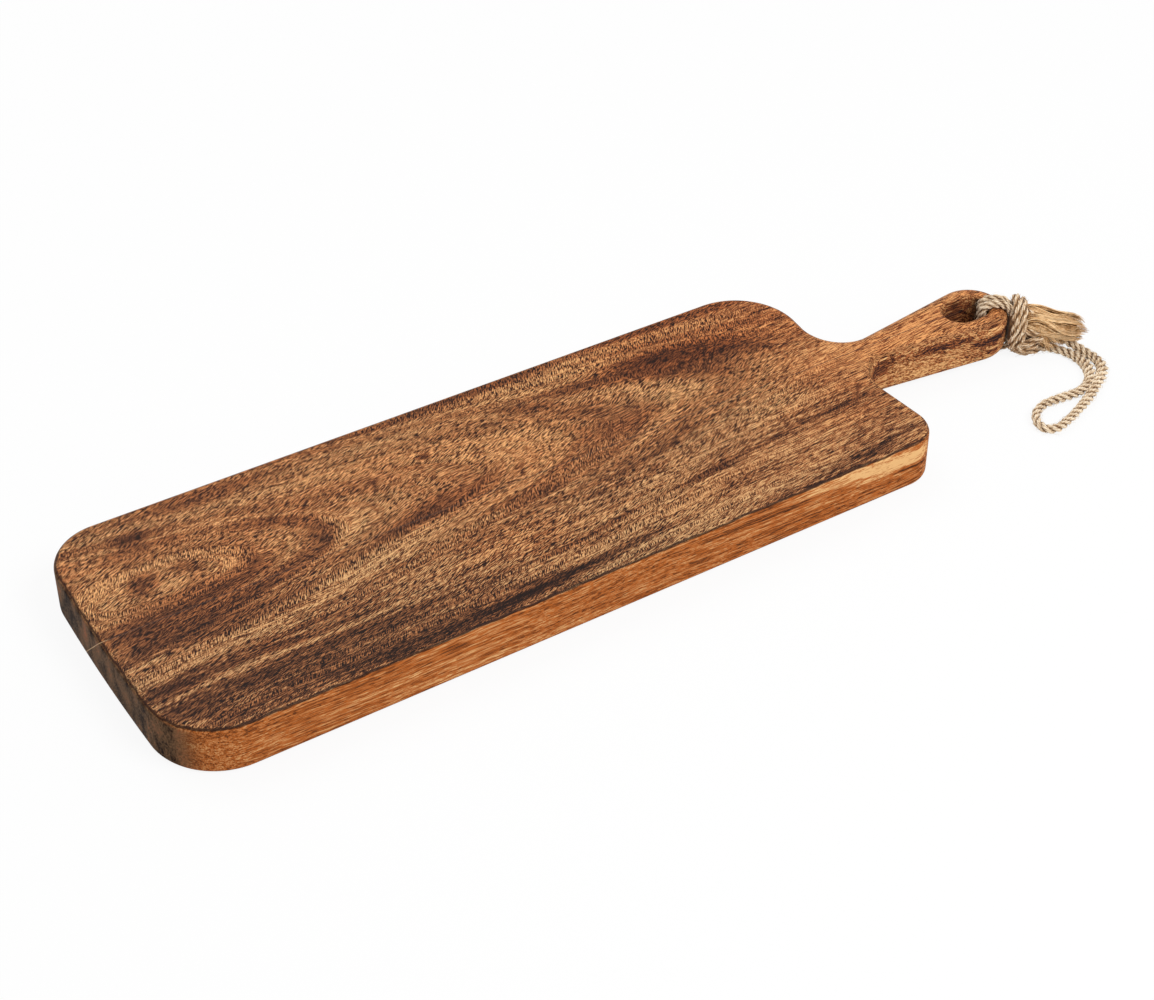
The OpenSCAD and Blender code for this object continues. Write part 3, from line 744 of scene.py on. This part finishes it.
class SERVINGBOARD_OT_board(Operator):
    """Shapes the board, drills its hanging hole and parts it into its two staves"""
    bl_idname = "servingboard.board"
    bl_label = "Board"

    def execute(self, context):
        sizes = context.scene.board_sizes
        outline = board_outline(sizes)
        rounding = {(round(p[0], 5), round(p[1], 5)): p[2] for p in outline}
        board = raised_outline("board", outline, 0.0, sizes.thickness)

        def rim(a, b):
            found = [rounding.get((round(p.x, 5), round(p.y, 5)), sizes.edge) for p in (a, b)]
            return sum(found) / 2 / sizes.handle_edge

        round_edges(board, sizes.handle_edge, segments=7, weight=rim)
        far = sizes.length / 2 - sizes.tip_radius
        hole = []
        for end, x in enumerate((far, far - sizes.hole_run)):
            for i in range(HOLE_PARTS + 1):
                a = math.pi * (end + i / HOLE_PARTS - 0.5)
                hole.append((x + sizes.hole_radius * math.cos(a), sizes.tip_shift + sizes.hole_radius * math.sin(a)))
        cutter = raised_outline("hole_cutter", hole, -0.01, sizes.thickness + 0.01)
        apply_modifier(board, "BOOLEAN", object=cutter, operation="DIFFERENCE", solver="EXACT")
        bpy.data.objects.remove(cutter)

        def hole_rim(a, b):
            for p in (a, b):
                nearest = min(max(p.x, far - sizes.hole_run), far)
                off = math.hypot(p.x - nearest, p.y - sizes.tip_shift) - sizes.hole_radius
                if abs(off) > 2e-4 or min(abs(p.z), abs(p.z - sizes.thickness)) > 1e-5:
                    return 0.0
            return 1.0

        round_edges(board, sizes.hole_edge, segments=6, weight=hole_rim)
        heel_x = far + sizes.heel_lead
        for vertex in board.data.vertices:
            t = min(max((vertex.co.x - heel_x + sizes.heel_length) / sizes.heel_length, 0), 1)
            lift = sizes.heel_rise * (1 - math.cos(math.pi * t)) / 2
            vertex.co.z += lift * (1 - vertex.co.z / sizes.thickness) ** 2

        joint = Vector((0, sizes.glue_shift, sizes.thickness))
        across = Vector((0, math.cos(sizes.glue_lean), math.sin(sizes.glue_lean)))
        for name, side in (("rear_stave", 1), ("front_stave", -1)):
            stave = duplicate(board, name + "_wood")
            bpy.ops.mesh.primitive_cube_add(size=2, location=joint + across * (side * (sizes.glue_gap / 2 - 1)),
                                            rotation=(sizes.glue_lean, 0, 0))
            other_side = bpy.context.object
            apply_modifier(stave, "BOOLEAN", object=other_side, operation="DIFFERENCE", solver="EXACT")
            bpy.data.objects.remove(other_side)
            choose(stave)
            edit_all(bpy.ops.mesh.dissolve_degenerate, threshold=SLIVER)
            bpy.ops.object.shade_smooth_by_angle(angle=SMOOTH_BELOW)
            apply_modifier(stave, "WEIGHTED_NORMAL", keep_sharp=True, weight=90)
            stave.data.materials.clear()
            stave.data.materials.append(wood_material(name, context.scene.finishes))
            settle(stave, "board", name)
        bpy.data.objects.remove(board)
        return {"FINISHED"}


class SERVINGBOARD_OT_glue(Operator):
    """Finishes the glue line between the staves"""
    bl_idname = "servingboard.glue"
    bl_label = "Glue line"

    def execute(self, context):
        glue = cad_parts["glue_line"]
        glue.data.materials.clear()
        glue.data.materials.append(glue_material(context.scene.finishes))
        return {"FINISHED"}


# Materials

class Graph:
    """Places and joins shader nodes in one tree"""

    def __init__(self, tree):
        self.tree = tree
        self.count = 0

    def node(self, kind, inputs=None, **settings):
        node = self.tree.nodes.new(kind)
        node.location = (200 * (self.count % 12), -220 * (self.count // 12))
        self.count += 1
        for name, value in settings.items():
            setattr(node, name, value)
        for name, value in (inputs or {}).items():
            self.put(node.inputs[name], value)
        return node

    def put(self, socket, value):
        if isinstance(value, bpy.types.NodeSocket):
            self.tree.links.new(value, socket)
        elif socket.type == "RGBA":
            socket.default_value = (*value, 1.0)
        else:
            socket.default_value = value

    def math(self, operation, *values):
        return self.node("ShaderNodeMath", dict(enumerate(values)), operation=operation).outputs[0]

    def vector(self, operation, *values):
        return self.node("ShaderNodeVectorMath", dict(enumerate(values)), operation=operation).outputs[0]

    def resized(self, vector, amount):
        return self.node("ShaderNodeVectorMath", {0: vector, "Scale": amount}, operation="SCALE").outputs[0]

    def split(self, vector):
        return self.node("ShaderNodeSeparateXYZ", {0: vector}).outputs

    def total(self, tone, *others):
        for other in others:
            tone = self.math("ADD", tone, other)
        return tone

    def vary(self, tone, mask, amount):
        """Tone, moved by the amount where a mask from 0 to 1 is off its middle"""
        return self.math("MULTIPLY_ADD", self.math("SUBTRACT", mask, 0.5), amount, tone)

    def blend(self, a, b, share_of_b):
        return self.math("MULTIPLY_ADD", self.math("SUBTRACT", b, a), share_of_b, a)

    def noise(self, vector, stretch, detail, rough=0.5, shift=(0, 0, 0), output="Fac"):
        place = self.node("ShaderNodeMapping", {"Vector": vector, "Scale": stretch, "Location": shift})
        return self.node("ShaderNodeTexNoise", {"Vector": place.outputs[0], "Scale": 1.0, "Detail": detail,
                                                "Roughness": rough}).outputs[output]

    def between(self, value, low, high, to_low=0.0, to_high=1.0, course="SMOOTHSTEP"):
        """Goes from to_low to to_high while the value goes from low to high"""
        return self.node("ShaderNodeMapRange", {"Value": value, "From Min": low, "From Max": high, "To Min": to_low,
                                                "To Max": to_high}, interpolation_type=course).outputs[0]

    def mix(self, amount, a, b, blend="MIX"):
        return self.node("ShaderNodeMix", {0: amount, 6: a, 7: b}, data_type="RGBA", blend_type=blend).outputs[2]

    def tinted(self, tint, colour, amount):
        """Tint, seen through a coloured glass"""
        amount = self.between(amount, 0.0, 1.0, course="LINEAR")
        return self.mix(amount, tint, self.mix(1.0, tint, colour, "MULTIPLY"))

    def ramp(self, value, stops):
        node = self.node("ShaderNodeValToRGB", {"Fac": value})
        elements = node.color_ramp.elements
        while len(elements) < len(stops):
            elements.new(0.5)
        for element, (place, tint) in zip(elements, stops):
            element.position = place
            element.color = (*tint, 1.0)
        return node.outputs[0]

    def group(self, tree, inputs):
        return self.node("ShaderNodeGroup", inputs, node_tree=tree).outputs

    def streak(self, tone, vector, place, half_size, turn, amount, soft):
        """Tone with a soft patch added"""
        patch = self.group(streak_patch(), {"Vector": vector, "Place": place, "Half size": half_size, "Turn": turn,
                                            "Amount": amount, "Soft": soft})
        return self.math("ADD", tone, patch[0])

    def bump(self, height, strength, distance):
        return self.node("ShaderNodeBump", {"Height": height, "Strength": strength, "Distance": distance}).outputs[0]

    def surface(self, kind, inputs):
        """The material's surface: a shader with its inputs"""
        shader = self.node(kind, inputs)
        self.node("ShaderNodeOutputMaterial", {"Surface": shader.outputs[0]})


def blank_material(name):
    """A new material and the graph of its empty tree"""
    material = bpy.data.materials.new(name)
    material.use_nodes = True
    material.node_tree.nodes.clear()
    return material, Graph(material.node_tree)


def shader_group(name, inputs, outputs):
    """Turns a function that fills a node group into one that gives the group, filled when first asked for"""
    def wrap(fill):
        def give():
            if name in bpy.data.node_groups:
                return bpy.data.node_groups[name]
            tree = bpy.data.node_groups.new(name, "ShaderNodeTree")
            for sockets, way in ((inputs, "INPUT"), (outputs, "OUTPUT")):
                for socket, value in sockets.items():
                    kind = "NodeSocketVector" if isinstance(value, tuple) else "NodeSocketFloat"
                    tree.interface.new_socket(name=socket, in_out=way, socket_type=kind).default_value = value
            graph = Graph(tree)
            fill(graph, graph.node("NodeGroupInput").outputs, graph.node("NodeGroupOutput").inputs)
            return tree
        return give
    return wrap


NOWHERE = (0, 0, 0)


@shader_group("Wavy grain", {"Vector": NOWHERE, "Drift": 0.006, "Wave": 0.001}, {"Vector": NOWHERE})
def wavy_grain(g, given, result):
    """Bends the grain: slow drifts and short waves"""
    bent = given["Vector"]
    for stretch, amount in (((7, 16, 16), "Drift"), ((70, 120, 120), "Wave")):
        bends = g.vector("SUBTRACT", g.noise(given["Vector"], stretch, 1.0, output="Color"), (0.5, 0.5, 0.5))
        bends = g.resized(g.vector("MULTIPLY", bends, (1.0, 2.0, 2.0)), given[amount])
        bent = g.vector("ADD", bent, bends)
    g.put(result["Vector"], bent)


@shader_group("Grain dashes", {"Vector": NOWHERE, "Turn": NOWHERE, "Fineness": (260, 1000, 1000), "Contrast": 0.12},
              {"Tone": 0.0})
def grain_dashes(g, given, result):
    """Short dashes at an angle to the board, where pores and fibres are cut open"""
    turned = g.node("ShaderNodeMapping", {"Vector": given["Vector"], "Rotation": given["Turn"]}).outputs[0]
    low, high = (g.math(operation, 0.5, given["Contrast"]) for operation in ("SUBTRACT", "ADD"))
    g.put(result["Tone"], g.between(g.noise(turned, given["Fineness"], 2.0, 0.55), low, high))


@shader_group("Streak", {"Vector": NOWHERE, "Place": NOWHERE, "Half size": (0.1, 0.01, 1), "Turn": NOWHERE,
                         "Amount": 1.0, "Soft": 0.2}, {"Tone": 0.0})
def streak_patch(g, given, result):
    """A soft patch of tone at a place, turned and stretched along the grain"""
    place = g.node("ShaderNodeMapping", {"Vector": given["Vector"], "Location": given["Place"],
                                         "Rotation": given["Turn"], "Scale": given["Half size"]},
                   vector_type="TEXTURE").outputs[0]
    away = g.node("ShaderNodeVectorMath", {0: place}, operation="LENGTH").outputs["Value"]
    g.put(result["Tone"], g.math("MULTIPLY", g.between(away, 1.0, given["Soft"]), given["Amount"]))


# Growth rings on the rear stave: how far along in metres, tone
RINGS = [(-0.22, 0.5), (-0.2, 0.4), (-0.166, 0.36), (-0.152, 0.58), (-0.135, 0.56), (-0.115, 0.44), (-0.07, 0.48),
         (-0.045, 0.58), (-0.006, 0.6), (0.006, 0.42), (0.042, 0.41), (0.06, 0.5), (0.074, 0.6), (0.086, 0.47),
         (0.13, 0.42), (0.2, 0.52)]
RINGS_REACH = 0.3
ARCH_MIDDLE, ARCH_BEND = 0.022, 62.0


@shader_group("Grain arches", {"Vector": NOWHERE}, dict.fromkeys(("Broad", "Fine", "Bands", "Rings"), 0.0))
def grain_arches(g, given, result):
    """Growth lines as nested arches that point to the handle, closed round a swirl near the square end"""
    place = g.split(given["Vector"])
    off = g.math("SUBTRACT", place["Y"], ARCH_MIDDLE)
    arch = g.math("MULTIPLY_ADD", g.math("MULTIPLY", off, off), ARCH_BEND, place["X"])
    line = g.streak(arch, given["Vector"], (-0.238, 0.027, 0.032), (0.095, 0.045, 0.08), NOWHERE, -0.13, 0.0)
    rings = g.ramp(g.between(line, -RINGS_REACH, RINGS_REACH, course="LINEAR"),
                   [((far + RINGS_REACH) / (2 * RINGS_REACH), (tone, tone, tone)) for far, tone in RINGS])
    near = g.between(g.math("ABSOLUTE", off), 0.075, 0.03)
    g.put(result["Rings"], g.math("MULTIPLY", g.math("SUBTRACT", rings, 0.5), near))
    spot = g.node("ShaderNodeCombineXYZ", {"X": line, "Y": place["Y"], "Z": place["Z"]}).outputs[0]
    for name, stretch, detail in (("Broad", (24, 9, 40), 2.0), ("Fine", (110, 16, 40), 3.0),
                                  ("Bands", (17, 6, 40), 1.0)):
        g.put(result[name], g.noise(spot, stretch, detail, 0.55))


# Streaks on the top: x, y, half length and half width in mm, turn in degrees, tone
TOP_STREAKS = [
    (-95, 4, 90, 13, 6, -0.3), (105, 55, 85, 27, -8, -0.5), (-210, -70, 170, 25, 1, -0.27),
    (-245, -8, 85, 24, 3, -0.4), (90, -60, 160, 24, 4, 0.24), (-120, -83, 200, 9, 1, -0.5),
    (60, 81, 110, 12, -3, 0.25), (-60, 82, 90, 12, 0, -0.25), (120, 8, 70, 26, 0, 0.15), (-287, 42, 18, 26, 0, 0.45),
    (-257, 69, 15, 7, 0, -0.9), (-216, 58, 30, 7, -15, 0.4), (-205, 83, 50, 7, -4, -0.35),
    (-120, 68, 110, 16, 0, 0.18), (-266, 31, 13, 9, 30, -0.8), (-240, 33, 11, 6, 0, -0.45),
    (-252, 21, 12, 5, 10, 0.6), (-222, 24, 12, 6, 20, 0.7), (-208, 22, 9, 15, 0, -0.35), (-265, 1, 48, 11, 4, -0.5),
    (-286, -9, 24, 8, 0, -0.6), (-222, 9, 32, 9, 12, -0.35), (-252, -19, 44, 6, 4, -0.45),
    (-270, -33, 70, 7, 3, 0.22), (-143, 22, 9, 26, -12, 0.25), (-185, 28, 18, 5, 0, 0.2),
    (-166, 16, 7, 20, -10, -0.3), (-88, 3, 62, 8, 8, -0.35), (-25, 35, 40, 20, 20, 0.32), (-82, 47, 6, 3, 0, -0.9),
    (-6, 58, 28, 4, -16, -0.65), (28, 60, 26, 7, -8, -0.45), (30, 17, 30, 11, 8, -0.3), (-45, -17, 32, 8, 12, -0.4),
    (5, -4, 50, 11, 8, -0.2), (72, 33, 34, 7, -27, 0.3), (78, 57, 40, 7, -4, -0.7), (112, 50, 44, 11, -8, -0.52),
    (132, 40, 38, 7, -8, -0.4), (40, 78, 60, 9, -2, -0.12), (-20, 89, 190, 4, -0.5, -0.55),
    (120, 84, 60, 4, -5, -0.5), (135, 68, 50, 9, -6, 0.2), (-250, -39, 70, 6, 2, 0.2), (-240, -50, 84, 7, 1.5, -0.4),
    (-288, -53, 26, 7, 0, -0.55), (-235, -58, 80, 2.2, 2.4, 0.7), (-200, -68, 130, 11, 1, -0.42),
    (-60, -58, 80, 5, 6, -0.35), (-30, -57, 55, 2.2, 6, -0.65), (62, -48, 62, 4.5, 9, -0.5),
    (150, -37, 50, 3, 6, -0.65), (-100, -47, 120, 6, 5, 0.2), (62, -30, 75, 8, 8, 0.2), (-140, -88, 130, 6, 1, -0.6),
    (-140, -76, 190, 17, 1, -0.22), (-282, -77, 30, 8, -30, -0.7), (-95, -82, 72, 2.5, 5, -0.6),
    (-20, -76, 70, 2.6, 4, -0.45), (-55, -87, 62, 3.5, 4, 0.4), (20, -80, 70, 2.4, 5, 0.3),
    (150, -80, 52, 7, 6, -0.65), (92, -89, 70, 5, 5, -0.55), (120, -61, 70, 8, 8, 0.25), (75, -67, 70, 6, 7, -0.3),
    (232, 2, 85, 26, 0, 0.6), (170, 5, 50, 20, 0, 0.15), (-180, -26, 60, 2, 6, 0.4), (-150, -17, 60, 2, 4, 0.35),
    (60, -14, 70, 3, 12, -0.3), (10, -23, 50, 2, 7, -0.4),
]
# Patches on the walls: x, y, z, half length, half depth and half height in mm, turn about Y in degrees, tone. The
# dark patches on the handle's front wall, from the hollow at the neck to the tip, are painted shade
WALL_STREAKS = [
    (146, -92, 25, 80, 9, 8, 3, 1.0), (175, -92, 17, 50, 9, 2.2, 3, -0.6), (60, -92, 24, 130, 9, 3, 1, -0.35),
    (-60, -93, 8, 200, 9, 5, -1, 0.12), (-200, -93, 24, 90, 9, 4, 1, -0.25), (202, -13, 22, 24, 8, 9, -10, -0.9),
    (245, -18, 24, 45, 9, 5, -4, -0.95), (285, -22, 20, 26, 14, 6, -6, -1.0), (270, -22, 10, 34, 14, 4, -4, -0.35),
    (235, -18, 8, 50, 9, 5, 0, 0.4), (-100, 93, 16, 150, 9, 6, 0, 0.2), (80, 92, 20, 80, 9, 5, 1, -0.5),
]
# Dashes of open grain: turn in degrees, fineness, contrast
SLANTED = (24, (230, 2300, 2300), 0.08)
STEEP = (62, (300, 2200, 2200), 0.08)
STRAIGHT = (6, (110, 2300, 2300), 0.08)
THREADS = (3, (26, 1000, 1000), 0.1)


def wood_material(stave, finishes):
    """Oiled acacia: arched figure, dark streaks, dashes of open grain, sawn walls and end grain"""
    material, g = blank_material(stave + "_wood")
    side = 1 if stave == "rear_stave" else -1
    where = g.node("ShaderNodeTexCoord").outputs
    place, facing = where["Object"], g.split(where["Normal"])
    x, y, _ = g.split(place)
    along = g.group(wavy_grain(), {"Vector": place, "Drift": 0.007, "Wave": 0.0006})[0]
    arches = g.group(grain_arches(), {"Vector": along})
    slanted, steep, straight, threads = (
        g.group(grain_dashes(), {"Vector": along, "Turn": (0, 0, -math.radians(turn)), "Fineness": fineness,
                                 "Contrast": contrast})[0]
        for turn, fineness, contrast in (SLANTED, STEEP, STRAIGHT, THREADS))

    # Dashes: slanted and steep ones in rows, straight ones on lines, to the front right and on the handle
    front_right = g.math("MULTIPLY", g.between(x, 0.0, 0.12, 0.0, 0.8), g.between(y, -0.01, -0.05))
    straighter = g.math("MAXIMUM", front_right, g.between(x, 0.12, 0.19))
    lines = g.math("MAXIMUM", g.between(arches["Fine"], 0.5, 0.62), straighter)
    fabric = g.blend(slanted, steep, g.between(arches["Bands"], 0.5, 0.58))
    fabric = g.blend(fabric, straight, g.math("MULTIPLY", lines, 0.8))

    # Tone of the top
    tone = g.vary(0.495, arches["Broad"], 0.5)
    tone = g.total(g.vary(tone, arches["Fine"], 0.35), arches["Rings"])
    for mid_x, mid_y, half_length, half_width, turn, amount in TOP_STREAKS:
        if mid_y * side >= -24:
            tone = g.streak(tone, along, (mid_x / 1000, mid_y / 1000, 0.032),
                            (half_length / 870, half_width / 700, 0.05), (0, 0, math.radians(turn)),
                            amount * (0.58 if half_width < 5 else 0.4), 0.1)
    front = g.between(y, 0.01, -0.05, 0.15, 1.0)
    tone = g.vary(tone, fabric, 1.0)
    tone = g.vary(tone, g.noise(along, (5, 170, 170), 3.0, 0.6, (0, 3, 0)), g.math("MULTIPLY", front, 0.8))
    tone = g.vary(tone, threads, g.math("MULTIPLY", front, 0.3))
    tone = g.total(tone, g.between(x, 0.15, 0.2, 0.0, 0.03), g.between(y, -0.04, -0.07, 0.0, 0.075),
                   g.between(x, -0.1, -0.19, 0.0, -0.05))

    # Tone of the walls, stronger on the handle, with painted shade on the handle's front wall and in the hole
    def on_handle(low, high):
        return g.between(x, 0.17, 0.2, low, high)

    wall = g.vary(0.61, g.noise(along, (4, 50, 110), 3.0, 0.6, (1, 0, 0)), 0.55)
    wall = g.vary(wall, straight, on_handle(0.26, 0.6))
    wall = g.vary(wall, threads, on_handle(0.32, 0.55))
    # The dark patches on the handle's front wall among these are painted shade
    for mid_x, mid_y, mid_z, half_length, half_depth, half_height, turn, amount in WALL_STREAKS:
        if mid_y * side >= 0:
            wall = g.streak(wall, along, (mid_x / 1000, mid_y / 1000, mid_z / 1000),
                            (half_length / 1000, half_depth / 1000, half_height / 1000),
                            (0, math.radians(turn), 0), amount * 0.6, 0.2)
    # Painted shade in the hanging hole: its walls darkened as if in shadow
    wall = g.streak(wall, place, (0.2775, 0.001, 0.016), (0.02, 0.0155, 0.026), NOWHERE, -0.3, 0.75)
    wall = g.total(wall, on_handle(0.0, 0.06))

    # Tints, warmer to the handle and the rear shoulder, cooler to the front
    def tint_of(tone, darkest, main, main_at, gold_at):
        return g.ramp(tone, [(0.0, darkest), (0.3, finishes.wood_brown), (main_at, main),
                             (gold_at, finishes.wood_gold), (1.0, finishes.wood_pale)])

    drift = g.noise(along, (8, 30, 30), 2.0, shift=(4, 2, 0))
    shoulder = g.math("MULTIPLY", g.between(x, -0.01, 0.09), g.between(y, 0.02, 0.06))
    warm = g.vary(g.math("MAXIMUM", shoulder, g.between(x, 0.1, 0.2, 0.4, 1.0)), drift, 1.4)
    front_left = g.math("MULTIPLY", g.between(x, -0.05, -0.2), g.between(y, -0.04, -0.06, 0.0, 0.9))
    cool = g.total(g.vary(g.between(y, 0.01, -0.05, 0.0, 0.8), drift, -1.0), front_left)
    top = tint_of(tone, finishes.wood_dark, finishes.wood_tan, 0.55, 0.8)
    top = g.tinted(g.tinted(top, finishes.wood_red, warm), finishes.wood_cool, cool)
    # The handle's walls darken to violet: painted shade with a bluish painted reflection in the hollow at the neck
    walls = g.mix(on_handle(0.0, 0.7), tint_of(wall, finishes.wood_dark, finishes.wood_orange, 0.6, 0.82),
                  tint_of(wall, finishes.violet_grain_and_shade, finishes.wood_worn, 0.6, 0.82))
    dots = g.noise(place, (400, 1000, 800), 2.0, 0.6)
    rings = g.noise(along, (20, 70, 36), 3.0, 0.6, (0, 0, 2))
    end_grain = g.ramp(g.vary(g.math("MULTIPLY_ADD", dots, 1.1, -0.16), rings, 1.7),
                       [(0.15, finishes.wood_dark), (0.55, finishes.end_grain), (0.95, finishes.wood_worn)])
    walls = g.mix(g.between(facing["X"], -0.55, -0.9), walls, end_grain)

    # The top and the walls meet at a ragged dark edge
    flatness = g.vary(g.math("ABSOLUTE", facing["Z"]), fabric, 0.2)
    tint = g.mix(g.between(flatness, 0.5, 0.85), walls, top)
    ragged = g.vary(facing["Z"], g.noise(place, (90, 160, 160), 3.0), 0.5)
    edge = g.math("MULTIPLY", g.between(ragged, 0.5, 0.66), g.between(ragged, 0.93, 0.8))
    edge = g.math("MULTIPLY", edge, g.between(x, 0.15, 0.21, 0.85, 0.3))
    height = g.math("MULTIPLY_ADD", fabric, 0.6, g.math("MULTIPLY", threads, 0.4))
    g.surface("ShaderNodeBsdfPrincipled", {
        "Base Color": g.mix(edge, tint, finishes.wood_dark), "Roughness": finishes.wood_gloss,
        "Specular IOR Level": g.between(flatness, 0.5, 0.85, 0.01, 0.12), "Normal": g.bump(height, 0.3, 0.0003)})
    return material


def glue_material(finishes):
    """Dried glue: pale on the square end, dark elsewhere"""
    material, g = blank_material("glue")
    place = g.node("ShaderNodeTexCoord").outputs["Object"]
    on_end = g.between(g.split(place)["X"], -0.2985, -0.3035)
    specks = g.between(g.noise(place, (300, 300, 900), 2.0), 0.35, 0.7, 0.0, 0.4)
    tint = g.mix(specks, g.mix(on_end, finishes.wood_dark, finishes.glue), finishes.wood_brown)
    g.surface("ShaderNodeBsdfPrincipled", {"Base Color": tint, "Roughness": 0.6})
    return material


@shader_group("Jute fibre", {"Yarn": NOWHERE, "Place": NOWHERE, "Thread scale": 1.0}, {"Tone": 0.0, "Height": 0.0})
def jute_fibre(g, given, result):
    """Tone of jute fibre: pale and dark threads along the yarn, and patches of tone at random. The painted shade of
    the rope's depths is added by the material
    """
    threads = g.noise(g.resized(given["Yarn"], given["Thread scale"]), (9, 350, 1), 3.0, 0.6)
    tone = g.vary(0.5, threads, 2.7)
    tone = g.vary(tone, g.noise(given["Place"], (260, 260, 260), 2.0, 0.6), 1.2)
    tone = g.vary(tone, g.noise(given["Place"], (60, 60, 60), 1.0), 0.5)
    g.put(result["Tone"], tone)
    g.put(result["Height"], threads)


# Looks of jute: main colour, pale colour, thread scale, shift of tone, sheen
JUTE_LOOKS = {
    "jute_rope": ("jute", "jute_pale", 1.0, 0.16, 0.3),
    # The knotted look is the rope's jute shifted darker: painted shade of the knot
    "knotted_jute": ("knot", "jute_pale", 0.9, 0.05, 0.2),
    "frayed_jute": ("fray", "fray_pale", 0.6, 0.2, 0.15),
}


def jute_material(name, finishes):
    """Laid, knotted or combed-out jute, dull and hairy, with painted shade where a point lies deep in the rope"""
    if name in bpy.data.materials:
        return bpy.data.materials[name]
    main, pale, thread_scale, shift, sheen = JUTE_LOOKS[name]
    material, g = blank_material(name)
    where = g.node("ShaderNodeTexCoord").outputs
    fibres = g.group(jute_fibre(), {"Yarn": where["UV"], "Place": where["Object"], "Thread scale": thread_scale})
    # Painted shade: points deep in the rope, the knot and the brushes get darker
    unshaded_share = g.node("ShaderNodeAttribute", attribute_name="unshaded_share").outputs["Fac"]
    tone = g.total(fibres["Tone"], g.math("MULTIPLY_ADD", unshaded_share, 0.95, shift - 0.72))
    tint = g.ramp(tone, [(0.0, finishes.dark_jute_and_shade), (0.45, getattr(finishes, main)), (1.0, getattr(finishes, pale))])
    g.surface("ShaderNodeBsdfPrincipled", {
        "Base Color": tint, "Roughness": 0.85, "Specular IOR Level": 0.2, "Sheen Weight": sheen,
        "Sheen Roughness": 0.5, "Normal": g.bump(fibres["Height"], 0.5, 0.0002)})
    return material


class SERVINGBOARD_OT_stage(Operator):
    """Sets the pale floor, the soft lamps and the plain world"""
    bl_idname = "servingboard.stage"
    bl_label = "Stage"

    def execute(self, context):
        scene = context.scene
        deselect()
        bpy.ops.mesh.primitive_plane_add(size=8, location=(0, 0, -0.0002))
        floor = context.object
        floor.name = floor.data.name = "floor"
        material, g = blank_material("floor")
        rays = g.node("ShaderNodeLightPath").outputs
        seen = g.math("MULTIPLY", g.math("MAXIMUM", rays["Is Camera Ray"], rays["Is Glossy Ray"]), 0.9)
        pale = g.node("ShaderNodeBsdfDiffuse", {"Color": (0.85, 0.85, 0.85)}).outputs[0]
        white = g.node("ShaderNodeEmission", {"Color": (1, 1, 1), "Strength": 1.0}).outputs[0]
        g.surface("ShaderNodeMixShader", {0: seen, 1: pale, 2: white})
        floor.data.materials.append(material)

        scene.world = bpy.data.worlds.new("studio")
        scene.world.use_nodes = True
        sky = scene.world.node_tree.nodes["Background"].inputs
        sky["Color"].default_value = (1, 1, 1, 1)
        sky["Strength"].default_value = 0.55
        for name, place, size, power in (("key_lamp", (0.6, -1.3, 1.7), 1.0, 26.0),
                                         ("fill_lamp", (-0.3, 1.2, 1.9), 1.4, 14.0)):
            data = bpy.data.lights.new(name, "AREA")
            data.size, data.energy = size, power
            lamp = bpy.data.objects.new(name, data)
            lamp.location = place
            lamp.rotation_euler = (-Vector(place)).to_track_quat("-Z", "Y").to_euler()
            context.collection.objects.link(lamp)
        scene.view_settings.view_transform = "Standard"
        return {"FINISHED"}


class SERVINGBOARD_PT_panel(Panel):
    """Lists the pieces of the serving board"""
    bl_label = "Serving Board"
    bl_idname = "SERVINGBOARD_PT_panel"
    bl_space_type = "VIEW_3D"
    bl_region_type = "UI"
    bl_category = "Serving Board"

    def draw(self, context):
        for operator in STEPS:
            self.layout.operator(operator.bl_idname)
        for group in ("board_sizes", "rope_sizes", "finishes"):
            box = self.layout.box()
            for name in getattr(context.scene, group).__annotations__:
                box.prop(getattr(context.scene, group), name)


STEPS = [SERVINGBOARD_OT_camera, SERVINGBOARD_OT_hole_strands, SERVINGBOARD_OT_knot, SERVINGBOARD_OT_frayed_ends,
         SERVINGBOARD_OT_loop, SERVINGBOARD_OT_board, SERVINGBOARD_OT_glue, SERVINGBOARD_OT_stage]
GROUPS = {"board_sizes": BoardSizes, "rope_sizes": RopeSizes, "finishes": Finishes}


def register():
    for group in GROUPS.values():
        bpy.utils.register_class(group)
    for name, group in GROUPS.items():
        setattr(bpy.types.Scene, name, PointerProperty(type=group))
    for operator in STEPS:
        bpy.utils.register_class(operator)
    bpy.utils.register_class(SERVINGBOARD_PT_panel)


def unregister():
    bpy.utils.unregister_class(SERVINGBOARD_PT_panel)
    for operator in reversed(STEPS):
        bpy.utils.unregister_class(operator)
    for name, group in GROUPS.items():
        delattr(bpy.types.Scene, name)
        bpy.utils.unregister_class(group)


def main():
    register()
    deselect()
    bpy.ops.servingboard.camera()
    bpy.ops.servingboard.hole_strands()
    bpy.ops.servingboard.knot()
    bpy.ops.servingboard.frayed_ends()
    bpy.ops.servingboard.loop()
    bpy.ops.servingboard.board()
    bpy.ops.servingboard.glue()
    bpy.ops.servingboard.stage()
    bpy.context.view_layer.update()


if __name__ == "__main__":
    main()
